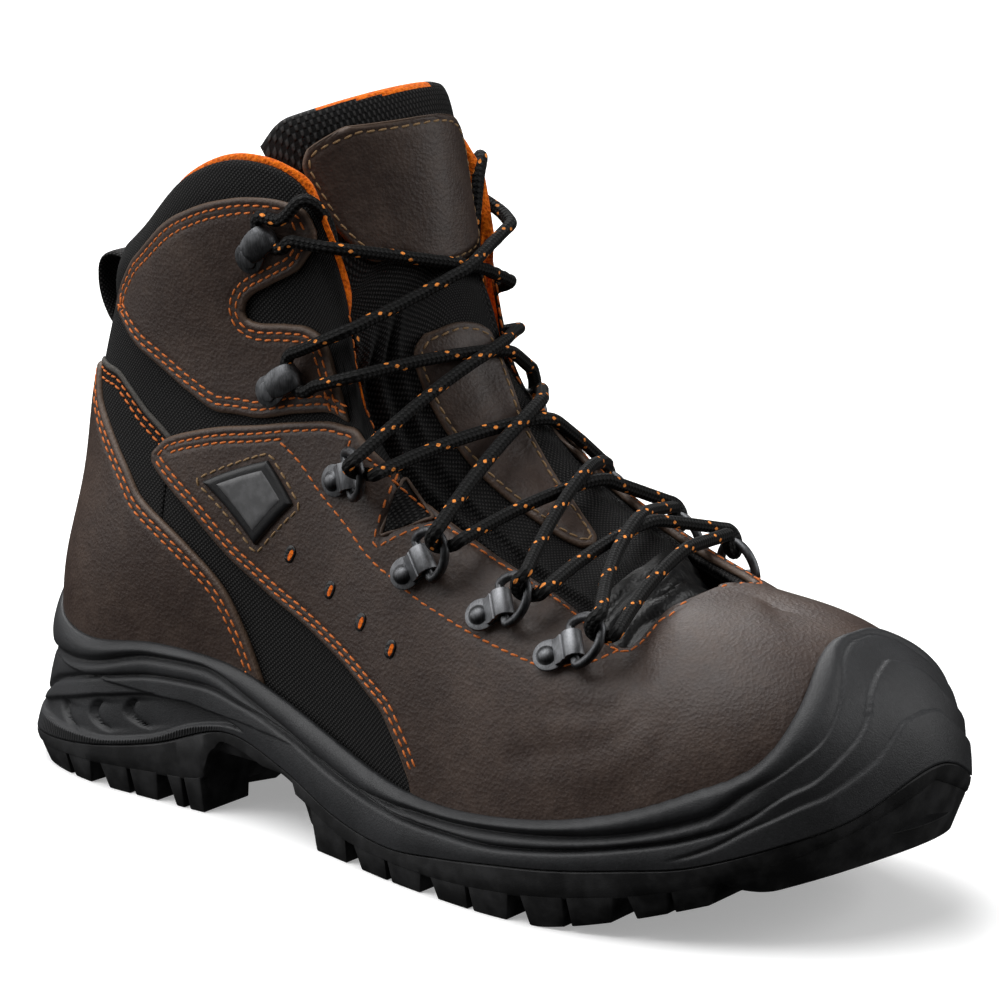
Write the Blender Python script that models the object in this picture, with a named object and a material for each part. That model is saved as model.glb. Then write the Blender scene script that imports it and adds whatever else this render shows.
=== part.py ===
"""Right-foot mid-cut safety boot: sole unit, hollow upper, leather panels, tongue and lace hardware."""
import bpy
import bmesh
import numpy as np

# The tables below are in millimetres: x from the heel's back to the toe, y to the inner side, z up.
MM = 0.001
ORIGIN_X = 154.5
ORIGIN_Y = -1.5

# One row per column round the last, heel back, outer side, toe, inner side.
# base x, y, z on the feather line, top x, y, z on the collar, throat or toe ridge, roundness, belly, waist
LAST = (
    ("heel_back", 13, 0, 33, 37, 0, 152, 1.0, 4, 2),
    ("heel_corner", 21, -21, 33, 43, -19, 155, 1.0, 3.5, 2),
    ("heel_side", 42, -33, 33, 60, -29, 166, 1.0, 3, 0),
    ("heel_front", 70, -36, 33, 83, -37, 184, 1.0, 2, -3),
    ("ankle", 98, -36.5, 32, 106, -40, 192, 1.05, 1, -5),
    ("waist_rear", 122, -39, 30, 126, -37, 186, 1.15, 1, -5),
    ("waist", 146, -43.5, 27, 136, -32, 160, 1.3, 1, -3),
    ("waist_front", 168, -48, 23, 141, -30, 128, 1.4, 1, -1),
    ("ball_rear", 188, -51, 20, 156, -28, 106, 1.5, 0, 0),
    ("ball", 208, -53, 20, 180, -26, 92, 1.7, 0, 0),
    ("throat_corner", 228, -52, 21, 205, -25, 82, 1.9, 0, 0),
    ("throat_bow", 247, -48, 24, 228, -25, 72, 2.1, 0, 0),
    ("throat_front", 264, -42, 28, 233, -6, 80, 2.3, 0, 0),
    ("toe_root", 280, -33, 33, 246, 5, 80.5, 2.4, 0, 0),
    ("toe_corner", 294, -18, 36, 253, 7, 79, 2.4, 0, 0),
    ("toe_tip", 303, 7, 37, 256, 8, 78.5, 2.4, 0, 0),
    ("inner_toe_corner", 297, 29, 36, 253, 9, 79, 2.4, 0, 0),
    ("inner_toe_root", 280, 43, 33, 246, 10, 80, 2.3, 0, 0),
    ("inner_throat_front", 260, 48, 28, 234, 9, 81.5, 2.2, 0, 0),
    ("inner_throat_bow", 242, 50, 24, 231, 23, 79.5, 2.0, 0, 0),
    ("inner_throat_corner", 224, 49.5, 21, 206, 25, 87, 1.9, 0, 0),
    ("inner_ball", 204, 48, 20, 182, 25, 98, 1.75, 0, 0),
    ("inner_ball_rear", 184, 44, 21, 159, 27, 112, 1.6, 0, 0),
    ("inner_waist_front", 164, 38, 24, 143, 29, 132, 1.45, 1, 0),
    ("inner_waist", 142, 33.5, 28, 136, 32, 161, 1.3, 1, -3),
    ("inner_waist_rear", 119, 32, 31, 125, 36, 186, 1.15, 1, -5),
    ("inner_ankle", 96, 33, 33, 105, 39, 192, 1.05, 1, -5),
    ("inner_heel_front", 70, 34, 33, 83, 36, 184, 1.0, 2, -3),
    ("inner_heel_side", 42, 32.5, 33, 60, 29, 166, 1.0, 3, 0),
    ("inner_heel_corner", 21, 21, 33, 43, 19, 155, 1.0, 3.5, 2),
)
# Sole wall on the same columns, outer half then mirrored: lip z, seam z, and how far out the wall
# stands at the lip, half way, at the seam and at the tread.
SOLE = (
    ("heel_back", 56, 7, 3.2, 6, 13, 11),
    ("heel_corner", 47, 9, 3.2, 5.5, 11, 9),
    ("heel_side", 44, 12, 3.6, 5, 7, 5.5),
    ("heel_front", 48, 18, 3.6, 4.2, 5, 3.5),
    ("ankle", 47, 27, 3.6, 4.2, 4.7, 3),
    ("waist_rear", 41, 22, 3.6, 4.2, 4.7, 3),
    ("waist", 34, 13.5, 3.6, 4.2, 4.7, 3.5),
    ("waist_front", 28.5, 10.5, 3.6, 4.2, 4.7, 4),
    ("ball_rear", 26.5, 12.5, 3.6, 4.2, 4.7, 4),
    ("ball", 28, 15.5, 3.6, 4.2, 4.7, 3.5),
    ("throat_corner", 31, 18, 3.6, 4.2, 4.7, 2.5),
    ("throat_bow", 36, 21, 3.6, 4.2, 4.7, 2),
    ("throat_front", 43, 24, 3.6, 4.4, 5.2, 1.5),
    ("toe_root", 52, 30, 3.6, 4.8, 6, 1.5),
    ("toe_corner", 72, 37, 3.6, 5, 6.4, 1.5),
    ("toe_tip", 75.5, 47, 3.6, 5, 6.6, 1.5),
)
COLUMNS = len(LAST)
TOE = COLUMNS // 2
# Columns where the ridge is closed over the toe.
RIDGE = 12

# Section heights of the upper's own grid, as shares of each column.
GRID_H = (0, 0.1, 0.22, 0.35, 0.48, 0.61, 0.74, 0.87, 1.0)
GRID_STEP = 0.5
BREAST_T = (3.6, 3.78)
ARCH_END_T = (5.2, 5.42)

UPPER_WALL = 2.4
SKIN_GAP = 0.5
LEATHER = 1.5
# Columns of sharp bend where the leather lies a little further off, and by how much.
SKIN_EASE = ((7.4, 0.35), (14.0, 0.4))
EASE_SPREAD = 0.6
CUP_GAP = 0.8
JOIN_GAP = 0.3

# Outsole: tread depth, heel breast and front of the arch, height under the arch, toe spring.
TREAD = 5.5
BREAST_X = 90
ARCH_END_X = 129
ARCH_STEP = 3
ARCH_Z = 19.5
ARCH_SKIN = 2.5
SPRING_X = 222
SPRING_RUN = 82
SPRING_RISE = 25
SPRING_POWER = 1.25
TOE_SMOOTH_X = (268, 284)
SHELF = 3.5
MIDSOLE_FLOOR = 6

# Wall profile of the midsole from seam to lip: share of the wall, change in stand-out.
RIBS = ((0.0, 0.0), (0.2, 0.0), (0.25, -1.1), (0.32, 0.1), (0.9, 0.3), (0.98, -0.5))

INSOLE_SIDE_GAP = 0.6
INSOLE_THICK = 3.5

# Leather outlines as column and share of column height.
COUNTER_TOP = ((0, 0.725), (1.05, 0.72), (1.43, 0.625), (1.8, 0.55), (2.27, 0.458), (2.6, 0.385),
               (3.37, 0.292), (3.9, 0.225), (4.27, 0.15), (4.55, 0.075))
QUARTER_LOW = ((2.66, 0.465), (2.8, 0.435), (3.23, 0.375), (4.1, 0.275), (4.97, 0.235), (6.03, 0.225),
               (6.8, 0.21), (7.13, 0.15), (7.4, 0.06))
QUARTER_TOP = ((2.66, 0.475), (2.9, 0.5), (3.4, 0.51), (4.1, 0.525), (4.87, 0.567), (5.67, 0.66),
               (6.47, 0.785), (6.97, 0.86), (7.6, 0.93), (8.4, 0.97), (10.4, 0.975), (11.0, 0.95), (11.7, 1.0))
ANKLE_LOW = ((1.5, 0.845), (1.9, 0.775), (2.4, 0.69), (3.13, 0.585), (3.7, 0.54), (4.1, 0.54),
             (4.87, 0.582), (5.67, 0.675), (5.95, 0.71))
ANKLE_BAY_LOW = ((1.5, 0.86), (2.5, 0.8), (3.95, 0.728), (4.13, 0.71), (4.63, 0.727), (5.0, 0.75),
                 (5.43, 0.772), (5.7, 0.742), (5.95, 0.715))
ANKLE_BAY_TOP = ((1.5, 0.86), (2.5, 0.8), (3.95, 0.728), (4.1, 0.76), (4.37, 0.785), (4.87, 0.842),
                 (5.3, 0.94))
ANKLE_TOP = ((1.5, 0.87), (1.6, 0.905), (1.9, 0.94), (2.47, 0.945), (3.1, 0.935), (3.63, 0.933),
             (4.13, 0.94), (4.77, 0.957), (5.15, 0.972), (5.3, 0.965))

# Tongue stations: column under whose edge it lies, crown x, y, z. The top row stands free of the collar.
TONGUE = (
    (11.0, 237, 1, 72.0), (10.7, 230, 1, 79.5), (10.3, 221, 1, 85.0), (9.9, 210, 1, 87.5), (9.45, 199, 1, 91.5),
    (9.0, 189, 1, 96.5), (8.5, 176, 1, 105), (8.0, 166, 1, 115), (7.5, 158, 1, 126), (7.0, 151.5, 1, 138),
    (6.5, 147, 2, 151), (6.0, 144.5, 3, 162), (5.6, 142.5, 4, 174), (5.25, 140, 5, 187),
)
TONGUE_TOP = (135, 5, 211)
TONGUE_TOP_OUTER = (104, -35, 199)
TONGUE_TOP_INNER = (106, 36, 196)
TONGUE_EDGE_H = 0.86
TONGUE_DEPTH = 7.2
TONGUE_FLARE = 1.8
TONGUE_FULL = 0.7
INNER_FULL_FROM = (8.0, 11.0)
OUTER_FULL_FROM = (12.5, 14.0)
TONGUE_THICK = 4.5
PATCH_GAP = 0.8
TONGUE_ACROSS = (-1, -0.8, -0.6, -0.4, -0.2, 0, 0.2, 0.4, 0.6, 0.8, 1)
TONGUE_TOP_ROWS = (13.3, 13.6)
# Leather on the tongue, station number along TONGUE and share across.
PATCH_LOW = ((10.9, -0.1), (11.2, -0.28), (12.0, -0.52), (13.0, -0.74), (13.3, -0.78), (13.6, -0.66))
PATCH_HIGH = ((10.9, 0.15), (11.2, 0.45), (12.0, 0.74), (13.0, 0.7), (13.3, 0.6), (13.6, 0.36))
STRIP_LOW = ((4.1, -0.2), (5.4, -0.31), (7.2, -0.41), (8.7, -0.45), (9.6, -0.46), (9.9, -0.36))
STRIP_HIGH = ((4.1, 0.05), (5.1, 0.15), (6.4, 0.36), (8.0, 0.48), (9.6, 0.5), (9.9, 0.36))

# Lace hardware on the outer side: column, share of height, turn of the plate towards the throat, seat gap.
RINGS = (("ring_1", 10.07, 0.71, 0.95, 0.9), ("ring_2", 9.08, 0.73, 0.95, 0.9),
         ("ring_3", 7.85, 0.7, 0.8, 0.9), ("ring_4", 5.95, 0.595, 0.8, 0.9))
HOOKS = (("hook_1", 4.66, 0.625, 0.85, 1.3), ("hook_2", 4.35, 0.86, 0.75, 0.3))
# The inner side's rings sit lower, point more straight up and lie flatter.
INNER_RINGS = (("ring_1", 9.85, 0.6, 0.0, 0.9), ("ring_2", 9.0, 0.6, 0.0, 0.9),
               ("ring_3", 7.85, 0.6, 0.1, 0.9), ("ring_4", 6.1, 0.57, 0.4, 1.2))
INNER_RING_TILT = 14
PLATE_WIDTH = 9.0
PLATE_THICK = 1.0
PLATE_BACK = 8.0
PLATE_FRONT = 4.5
CURL_RADIUS = 2.4
CURL_END = 150
RIVET_RADIUS = 4.2
RIVET_TOP = 2.4
RIVET_RISE = 1.6
RIVET_BACK = 3.2
RIVET_SIDES = 7
WIRE = 1.4
RING_HALF = 6.4
RING_REACH = 11
RING_TILT = 30
RING_SIDES = 4
HOOK_WIDTH = 10.0
HOOK_RISE = 3.0
HOOK_LIP = 5.0

LACE = 4.2
LACE_SIDES = 5
LACE_KNOTS = (0.4, 0.7, 1, 1.2, 1.4, 1.7, 2, 3, 4, 4.6, 5, 5.15, 5.3, 5.45, 5.6)
LACE_CLEAR = 5.7
LACE_LIFT = 4.9
LACE_CROSS = 3.0
LACE_PAIR = 2.5
LACE_EDGE = 6.5
LACE_FRONT_DROP = 0.8

# Badge patch corners on the outer quarter, column and share of height.
BADGE = ((3.55, 0.416), (4.5, 0.478), (5.0, 0.43), (4.43, 0.325))
BADGE_THICK = 1.0
BADGE_CELLS = 5

# Pull loop behind the collar: x and z of its strap, and its width and thickness.
LOOP = ((29.6, 127.5), (25.5, 130.0), (21.5, 136.0), (20.0, 142.0), (21.0, 147.0), (25.5, 149.5), (32.5, 149.0))
LOOP_WIDTH = 16
LOOP_THICK = 1.6


def spline(table, t):
    """Closed Catmull-Rom curve through the table's rows."""
    t = np.asarray(t, float)
    i = np.floor(t).astype(int)
    f = (t - i)[..., None]
    a, b, c, d = (table[(i + k) % COLUMNS] for k in (-1, 0, 1, 2))
    return 0.5 * (2 * b + (c - a) * f + (2 * a - 5 * b + 4 * c - d) * f ** 2 + (3 * b - a - 3 * c + d) * f ** 3)


LAST_ROWS = np.array([row[1:] for row in LAST], float)
SOLE_HALF = [row[1:] for row in SOLE]
SOLE_ROWS = np.array(SOLE_HALF + SOLE_HALF[TOE - 1:0:-1], float)
ARC_STEPS = 48


def feather(t):
    """Feather point and the level outward direction at column t."""
    t = np.asarray(t, float)
    point = spline(LAST_ROWS, t)[..., :3]
    run = (spline(LAST_ROWS, t + 0.02) - spline(LAST_ROWS, t - 0.02))[..., :2]
    run = run / np.linalg.norm(run, axis=-1, keepdims=True)
    out = np.stack([run[..., 1], -run[..., 0], np.zeros_like(run[..., 0])], -1)
    return point, out


def column_curve(t):
    """Points up each column and the running length along them."""
    row = spline(LAST_ROWS, t)
    out = feather(t)[1]
    bx, by, bz, tx, ty, tz, n, belly, waist = (row[..., k, None] for k in range(9))
    turn = np.linspace(0, 1, ARC_STEPS) * np.pi / 2
    inward = 1 - np.clip(np.cos(turn), 0, 1) ** (2 / n)
    rise = np.sin(turn) ** (2 / n)
    swell = belly * np.exp(-((rise - 0.22) / 0.2) ** 2) + waist * np.exp(-((rise - 0.66) / 0.2) ** 2)
    x = bx + (tx - bx) * inward + out[..., 0, None] * swell
    y = by + (ty - by) * inward + out[..., 1, None] * swell
    z = bz + (tz - bz) * rise
    points = np.stack([x, y, z], -1)
    steps = np.linalg.norm(np.diff(points, axis=-2), axis=-1)
    length = np.concatenate([np.zeros(steps.shape[:-1] + (1,)), np.cumsum(steps, -1)], -1)
    return points, length


def last(t, h):
    """Point of the upper's outer face at column t and share h of the column's length."""
    t, h = np.broadcast_arrays(np.asarray(t, float), np.asarray(h, float))
    points, length = column_curve(t.ravel())
    target = h.ravel() * length[:, -1]
    pick = np.arange(target.size)
    k = np.clip((length <= target[:, None]).sum(-1) - 1, 0, ARC_STEPS - 2)
    f = (target - length[pick, k]) / (length[pick, k + 1] - length[pick, k])
    out = points[pick, k] * (1 - f[:, None]) + points[pick, k + 1] * f[:, None]
    return out.reshape(h.shape + (3,))


def last_normal(t, h):
    """Outward direction of the upper's face."""
    t, h = np.broadcast_arrays(np.asarray(t, float), np.asarray(h, float))
    up = np.clip(h, 0.015, 0.985)
    across = last(t + 0.06, h) - last(t - 0.06, h)
    along = last(t, up + 0.015) - last(t, up - 0.015)
    normal = np.cross(across, along)
    return normal / np.linalg.norm(normal, axis=-1, keepdims=True)


def skin(t, h, out):
    """Point a given distance off the upper's face."""
    return last(t, h) + last_normal(t, h) * np.asarray(out, float)[..., None]


def share_at_height(t, z):
    """Share of the column at which it reaches height z."""
    points, length = column_curve(np.asarray(t, float))
    return np.array([np.interp(zi, p[:, 2], s / s[-1]) for zi, p, s in zip(z, points, length)])


def wall(t, s, out):
    """Point of the sole wall: s millimetres up the column from the feather, or straight down below it."""
    point, level = feather(t)
    size = column_curve(t)[1][..., -1]
    h = np.clip(s / size, 0, 1)
    above = skin(t, h, out)
    below = point + level * np.asarray(out, float)[..., None]
    below[..., 2] += np.minimum(s, 0)
    return np.where((s >= 0)[..., None], above, below)


def smooth_step(x, low, high):
    f = np.clip((np.asarray(x, float) - low) / (high - low), 0, 1)
    return f * f * (3 - 2 * f)


def grid_columns():
    """Column numbers of the shared grid, denser at the heel's breast and the front of the arch."""
    half = np.arange(0, TOE + 1e-6, TOE / round(TOE / GRID_STEP))
    extra = np.array(BREAST_T + ARCH_END_T)
    half = half[[np.abs(extra - t).min() > 0.12 for t in half]]
    half = np.sort(np.concatenate([half, extra]))
    return np.concatenate([half, (COLUMNS - half[1:-1])[::-1]])


def spring(x):
    return SPRING_RISE * np.clip((np.asarray(x, float) - SPRING_X) / SPRING_RUN, 0, 1.2) ** SPRING_POWER


def body_bottom(x):
    """Height of the outsole's body above the ground, without its lugs."""
    tread = TREAD * (1 - smooth_step(x, *TOE_SMOOTH_X))
    arch = smooth_step(x, BREAST_X - ARCH_STEP, BREAST_X + ARCH_STEP)
    arch = arch * (1 - smooth_step(x, ARCH_END_X - ARCH_STEP, ARCH_END_X + ARCH_STEP))
    return (tread + spring(x)) * (1 - arch) + ARCH_Z * arch


def material(name, colour, rough, metallic):
    mat = bpy.data.materials.new(name)
    mat.use_nodes = True
    shader = mat.node_tree.nodes["Principled BSDF"]
    shader.inputs["Base Color"].default_value = (*colour, 1)
    shader.inputs["Roughness"].default_value = rough
    shader.inputs["Metallic"].default_value = metallic
    mat.diffuse_color = (*colour, 1)
    return mat


LOOKS = {
    "leather": ((0.042, 0.030, 0.024), 0.55, 0.0),
    "textile": ((0.010, 0.010, 0.011), 0.85, 0.0),
    "midsole": ((0.030, 0.031, 0.034), 0.6, 0.0),
    "rubber": ((0.012, 0.012, 0.013), 0.7, 0.0),
    "metal": ((0.10, 0.11, 0.12), 0.35, 1.0),
    "lace": ((0.010, 0.010, 0.010), 0.8, 0.0),
    "insole": ((0.05, 0.05, 0.05), 0.9, 0.0),
    "badge": ((0.02, 0.02, 0.02), 0.4, 0.0),
}


def build(name, look, points, faces):
    """Make a named object from points in millimetres, merged and facing outward."""
    mesh = bpy.data.meshes.new(name)
    placed = (np.asarray(points, float) - (ORIGIN_X, ORIGIN_Y, 0)) * MM
    split = []
    for face in faces:
        split += [(face[0], face[1], face[2]), (face[0], face[2], face[3])] if len(face) == 4 else [face]
    mesh.from_pydata([tuple(p) for p in placed], [], [tuple(int(i) for i in f) for f in split])
    bm = bmesh.new()
    bm.from_mesh(mesh)
    bmesh.ops.remove_doubles(bm, verts=bm.verts, dist=2e-5)
    bmesh.ops.recalc_face_normals(bm, faces=bm.faces)
    bm.to_mesh(mesh)
    bm.free()
    obj = bpy.data.objects.new(name, mesh)
    bpy.context.collection.objects.link(obj)
    mesh.materials.append(material(name, *LOOKS[look]))
    for face in mesh.polygons:
        face.use_smooth = True
    return obj


def apply_modifier(obj, kind, **settings):
    mod = obj.modifiers.new(kind.lower(), kind)
    for key, value in settings.items():
        setattr(mod, key, value)
    bpy.ops.object.select_all(action="DESELECT")
    bpy.context.view_layer.objects.active = obj
    obj.select_set(True)
    bpy.ops.object.modifier_apply(modifier=mod.name)


def face_out(obj, inside):
    """Turn an open sheet so that its faces look away from a point in millimetres."""
    centre = (np.asarray(inside, float) - (ORIGIN_X, ORIGIN_Y, 0)) * MM
    votes = sum(np.dot(np.array(f.normal), np.array(f.center) - centre) * f.area for f in obj.data.polygons)
    if votes < 0:
        obj.data.flip_normals()


def thicken(obj, thickness, inside):
    """Give an open sheet a real thickness, outward when positive."""
    face_out(obj, inside)
    apply_modifier(obj, "SOLIDIFY", thickness=abs(thickness) * MM, offset=1.0 if thickness > 0 else -1.0,
                   use_even_offset=False, use_rim=True)


def join_union(obj, others):
    """Unite pieces into one body, each by an exact Boolean."""
    for other in others:
        apply_modifier(obj, "BOOLEAN", operation="UNION", solver="EXACT", object=other)
        bpy.data.objects.remove(other)


def quads(rows, columns, closed):
    """Faces of a grid stored row by row."""
    last_column = columns if closed else columns - 1
    faces = []
    for r in range(rows - 1):
        for c in range(last_column):
            n = (c + 1) % columns
            faces.append((r * columns + c, r * columns + n, (r + 1) * columns + n, (r + 1) * columns + c))
    return faces


def strip_faces(start, columns, first=0):
    """Faces that join the outer half of a ring to its inner half, station by station."""
    half = columns // 2
    faces = []
    for j in range(first, half):
        ring = [j, j + 1, columns - j - 1, (columns - j) % columns]
        ring = [start + i for k, i in enumerate(ring) if i not in ring[:k]]
        faces.append(ring)
    return faces


def stacked_rings(name, look, rings):
    """Closed body from a stack of rings, its first and last closed from side to side."""
    columns = len(rings[0])
    faces = quads(len(rings), columns, True)
    faces += strip_faces(0, columns)
    faces += strip_faces((len(rings) - 1) * columns, columns)
    return build(name, look, np.concatenate(rings), faces)


def outline(table, t):
    names, values = zip(*table)
    return np.interp(t, names, values)


def snapped(levels, low, high, snap=0.022):
    """Grid levels held between two limits, with none left very close to a limit."""
    levels = np.asarray(levels, float)
    out = np.clip(levels, low, high)
    out = np.where(levels < low + snap, low, out)
    out = np.where(levels > high - snap, high, out)
    return out


TS = grid_columns()
RING = len(TS)
FEATHER, LEVEL = feather(TS)
SOLE_AT = spline(SOLE_ROWS, TS)
LIP_H = share_at_height(TS, SOLE_AT[:, 0])
COLUMN_LENGTH = column_curve(TS)[1][:, -1]
MIDDLE = (150, 0, 60)


def seam_share():
    """Where the seam lies on each column: length above the feather, or height below it."""
    h = share_at_height(TS, np.maximum(SOLE_AT[:, 1], FEATHER[:, 2]))
    return np.where(SOLE_AT[:, 1] > FEATHER[:, 2], h * COLUMN_LENGTH, SOLE_AT[:, 1] - FEATHER[:, 2])


SEAM_S = seam_share()
LIP_S = LIP_H * COLUMN_LENGTH
SHELF_Z = np.minimum(SOLE_AT[:, 1], FEATHER[:, 2] - MIDSOLE_FLOOR)


def shelf_ring(drop):
    """Inner corner of the joint between midsole and outsole, lowered to the shelf's floor."""
    ring = wall(TS, np.minimum(SEAM_S, 0.0), SOLE_AT[:, 4] - SHELF)
    ring[:, 2] = SHELF_Z - drop
    return ring


def make_midsole():
    mid = SOLE_AT[:, 3]
    rings = [wall(TS, np.full(RING, -JOIN_GAP), np.full(RING, CUP_GAP))]
    levels = np.array([snapped(GRID_H, 0, top) for top in LIP_H])
    for k in range(len(GRID_H) - 1):
        rings.append(wall(TS, levels[:, k] * COLUMN_LENGTH, np.full(RING, CUP_GAP)))
    rings.append(wall(TS, LIP_S, np.full(RING, CUP_GAP)))
    rings.append(wall(TS, LIP_S, SOLE_AT[:, 2] * 0.6))
    for share, extra in RIBS[::-1]:
        bow = SOLE_AT[:, 4] * (1 - share) * (1 - 2 * share) + 4 * mid * share * (1 - share)
        bow = bow + SOLE_AT[:, 2] * share * (2 * share - 1)
        rings.append(wall(TS, SEAM_S + (LIP_S - SEAM_S) * share, bow + extra))
    rings += [wall(TS, SEAM_S, SOLE_AT[:, 4] - SHELF), shelf_ring(0.0)]
    return stacked_rings("midsole", "midsole", rings)


LUG_OUT = 0.8
LUG_TAPER = 0.9
LUG_WIDE_GAP = 6.0
LUG_SINK = 1.6
EDGE_LUG_DEPTH = 0.26
# Middles of the gaps between the lugs round the rim, as columns.
HEEL_LUGS = (0.35, 1.17, 2.2, 3.1, 3.62)
FORE_LUGS = (5.55, 6.27, 7.8, 9.4, 11.0, 12.2)
# Lugs down the middle: x where each starts, and how far it runs.
MIDDLE_LUGS = ((24, 13), (46, 13), (68, 13), (142, 15), (168, 15), (194, 15), (220, 15))
MIDDLE_LUG_HALF = 0.2
MIDDLE_LUG_SWEEP = 6


def across(t, share, out, z):
    """Point under the sole between an outer column and its twin on the inner side."""
    a, out_a = feather(t)
    b, out_b = feather(COLUMNS - np.asarray(t, float))
    a = a + out_a * out
    b = b + out_b * out
    point = a + (b - a) * np.asarray(share, float)[..., None]
    point[..., 2] = z
    return point


def lug_block(low, high):
    """Closed prism between a bottom and a top loop."""
    n = len(low)
    points = np.concatenate([low, high])
    faces = [tuple(range(n))[::-1], tuple(range(n, 2 * n))]
    faces += [(i, (i + 1) % n, n + (i + 1) % n, n + i) for i in range(n)]
    return points, faces


def edge_lug(t0, t1, inner):
    """One lug of the rim, on the outer or the inner side."""
    t = np.array([t0, (t0 + t1) / 2, t1])
    side = COLUMNS - t if inner else t
    tread = spline(SOLE_ROWS, t)[:, 5]
    base, level = feather(side)
    ground = spring(base[:, 0])
    top = body_bottom(base[:, 0]) + LUG_SINK
    loops = []
    for out, depth, z in ((tread - LUG_TAPER, EDGE_LUG_DEPTH - 0.01, ground), (tread + LUG_OUT, EDGE_LUG_DEPTH, top)):
        rim = base + level * out[:, None]
        back = across(t, np.full(3, 1 - depth if inner else depth), 0, 0)
        rim[:, 2] = z
        back[:, 2] = z
        loops.append(np.concatenate([rim, back[::-1]]))
    return lug_block(*loops)


def middle_lug(x0, run):
    """One chevron bar in the middle of the tread."""
    loops = []
    for grow, top in ((0.0, False), (0.5, True)):
        loop = []
        xs = (x0 - grow, x0 + run + grow)
        for x, shares in ((xs[0], (-1, 0, 1)), (xs[1], (1, 0, -1))):
            for share in shares:
                px = x + MIDDLE_LUG_SWEEP * (1 - abs(share))
                t = np.interp(px, FEATHER[:RING // 2 + 1, 0], TS[:RING // 2 + 1])
                p = across(np.array([t]), np.array([0.5 + share * MIDDLE_LUG_HALF]), 0, 0)[0]
                p[2] = body_bottom(px) + LUG_SINK if top else spring(px)
                loop.append(p)
        loops.append(np.array(loop))
    return lug_block(*loops)


def make_outsole():
    bottom_z = np.minimum(body_bottom(FEATHER[:, 0]), SHELF_Z - ARCH_SKIN)
    tread_out = SOLE_AT[:, 5]
    rings = [shelf_ring(JOIN_GAP)]
    inner = wall(TS, SEAM_S, SOLE_AT[:, 4] - SHELF)
    inner[:, 2] -= JOIN_GAP
    inner[:, :2] += LEVEL[:, :2] * JOIN_GAP
    rings[0][:, :2] += LEVEL[:, :2] * JOIN_GAP
    seam = wall(TS, SEAM_S, SOLE_AT[:, 4])
    seam[:, 2] -= JOIN_GAP
    rings += [inner, seam]
    for share in (0.35, 0.75, 1.0):
        ring = FEATHER + LEVEL * (SOLE_AT[:, 4] + (tread_out - SOLE_AT[:, 4]) * share ** 2)[:, None]
        ring[:, 2] = seam[:, 2] + (bottom_z - seam[:, 2]) * share
        rings.append(ring)
    body = stacked_rings("outsole", "rubber", rings)
    points, faces, count = [], [], 0
    blocks = []
    for edges in (HEEL_LUGS, FORE_LUGS):
        for t0, t1 in zip(edges[:-1], edges[1:]):
            size = np.linalg.norm(feather(t1)[0] - feather(t0)[0])
            wide = LUG_WIDE_GAP / size * (t1 - t0) / 2
            for inner_side in (False, True):
                blocks.append(edge_lug(t0 + wide, t1 - wide, inner_side))
    blocks += [middle_lug(x, run) for x, run in MIDDLE_LUGS]
    for block_points, block_faces in blocks:
        points.append(block_points)
        faces += [tuple(i + count for i in f) for f in block_faces]
        count += len(block_points)
    lugs = build("lugs", "rubber", np.concatenate(points), faces)
    join_union(body, [lugs])
    return body


def make_insole():
    inset = -(UPPER_WALL + INSOLE_SIDE_GAP)
    low = FEATHER + LEVEL * inset
    low[:, 2] += JOIN_GAP
    high = FEATHER + LEVEL * inset
    high[:, 2] += INSOLE_THICK
    return stacked_rings("insole", "insole", [low, high])


def ridge_columns(ts):
    """First station at which the ridge over the toe is closed."""
    return int(np.searchsorted(ts[:len(ts) // 2 + 1], RIDGE - 1e-6))


def make_upper():
    rows = np.array(GRID_H)
    points = last(TS[None, :], rows[:, None]).reshape(-1, 3)
    faces = quads(len(rows), RING, True)
    faces += strip_faces((len(rows) - 1) * RING, RING, ridge_columns(TS))
    obj = build("upper", "textile", points, faces)
    thicken(obj, -UPPER_WALL, MIDDLE)
    return obj


def panel_columns(t0, t1):
    """Grid columns between two limits, with the limits themselves."""
    inside = [t for t in TS if t0 + 0.15 < t < t1 - 0.15]
    return np.array([t0] + inside + [t1])


def panel_grid(ts, low, high, mirrored=False):
    """Points and faces of one leather sheet on the upper's grid between two outlines."""
    levels = np.array([snapped(GRID_H, lo, max(hi, lo)) for lo, hi in zip(low, high)])
    side = COLUMNS - ts if mirrored else ts
    if mirrored:
        side, levels = side[::-1], levels[::-1]
    twin = np.minimum(np.abs(side), COLUMNS - side)
    gap = SKIN_GAP + sum(ease * np.exp(-((twin - t) / EASE_SPREAD) ** 2) for t, ease in SKIN_EASE)
    points = skin(side[:, None] + 0 * levels, levels, gap[:, None] + 0 * levels)
    return points.reshape(-1, 3), quads(len(ts), len(GRID_H), False)


def merged(parts):
    points, faces, count = [], [], 0
    for part_points, part_faces in parts:
        points.append(part_points)
        faces += [tuple(i + count for i in f) for f in part_faces]
        count += len(part_points)
    return np.concatenate(points), faces


LIP_CLEAR = 0.014


def lip_share(t):
    whole = np.concatenate([TS, [COLUMNS]])
    return np.interp(np.mod(t, COLUMNS), whole, np.concatenate([LIP_H, LIP_H[:1]])) + LIP_CLEAR


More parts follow.
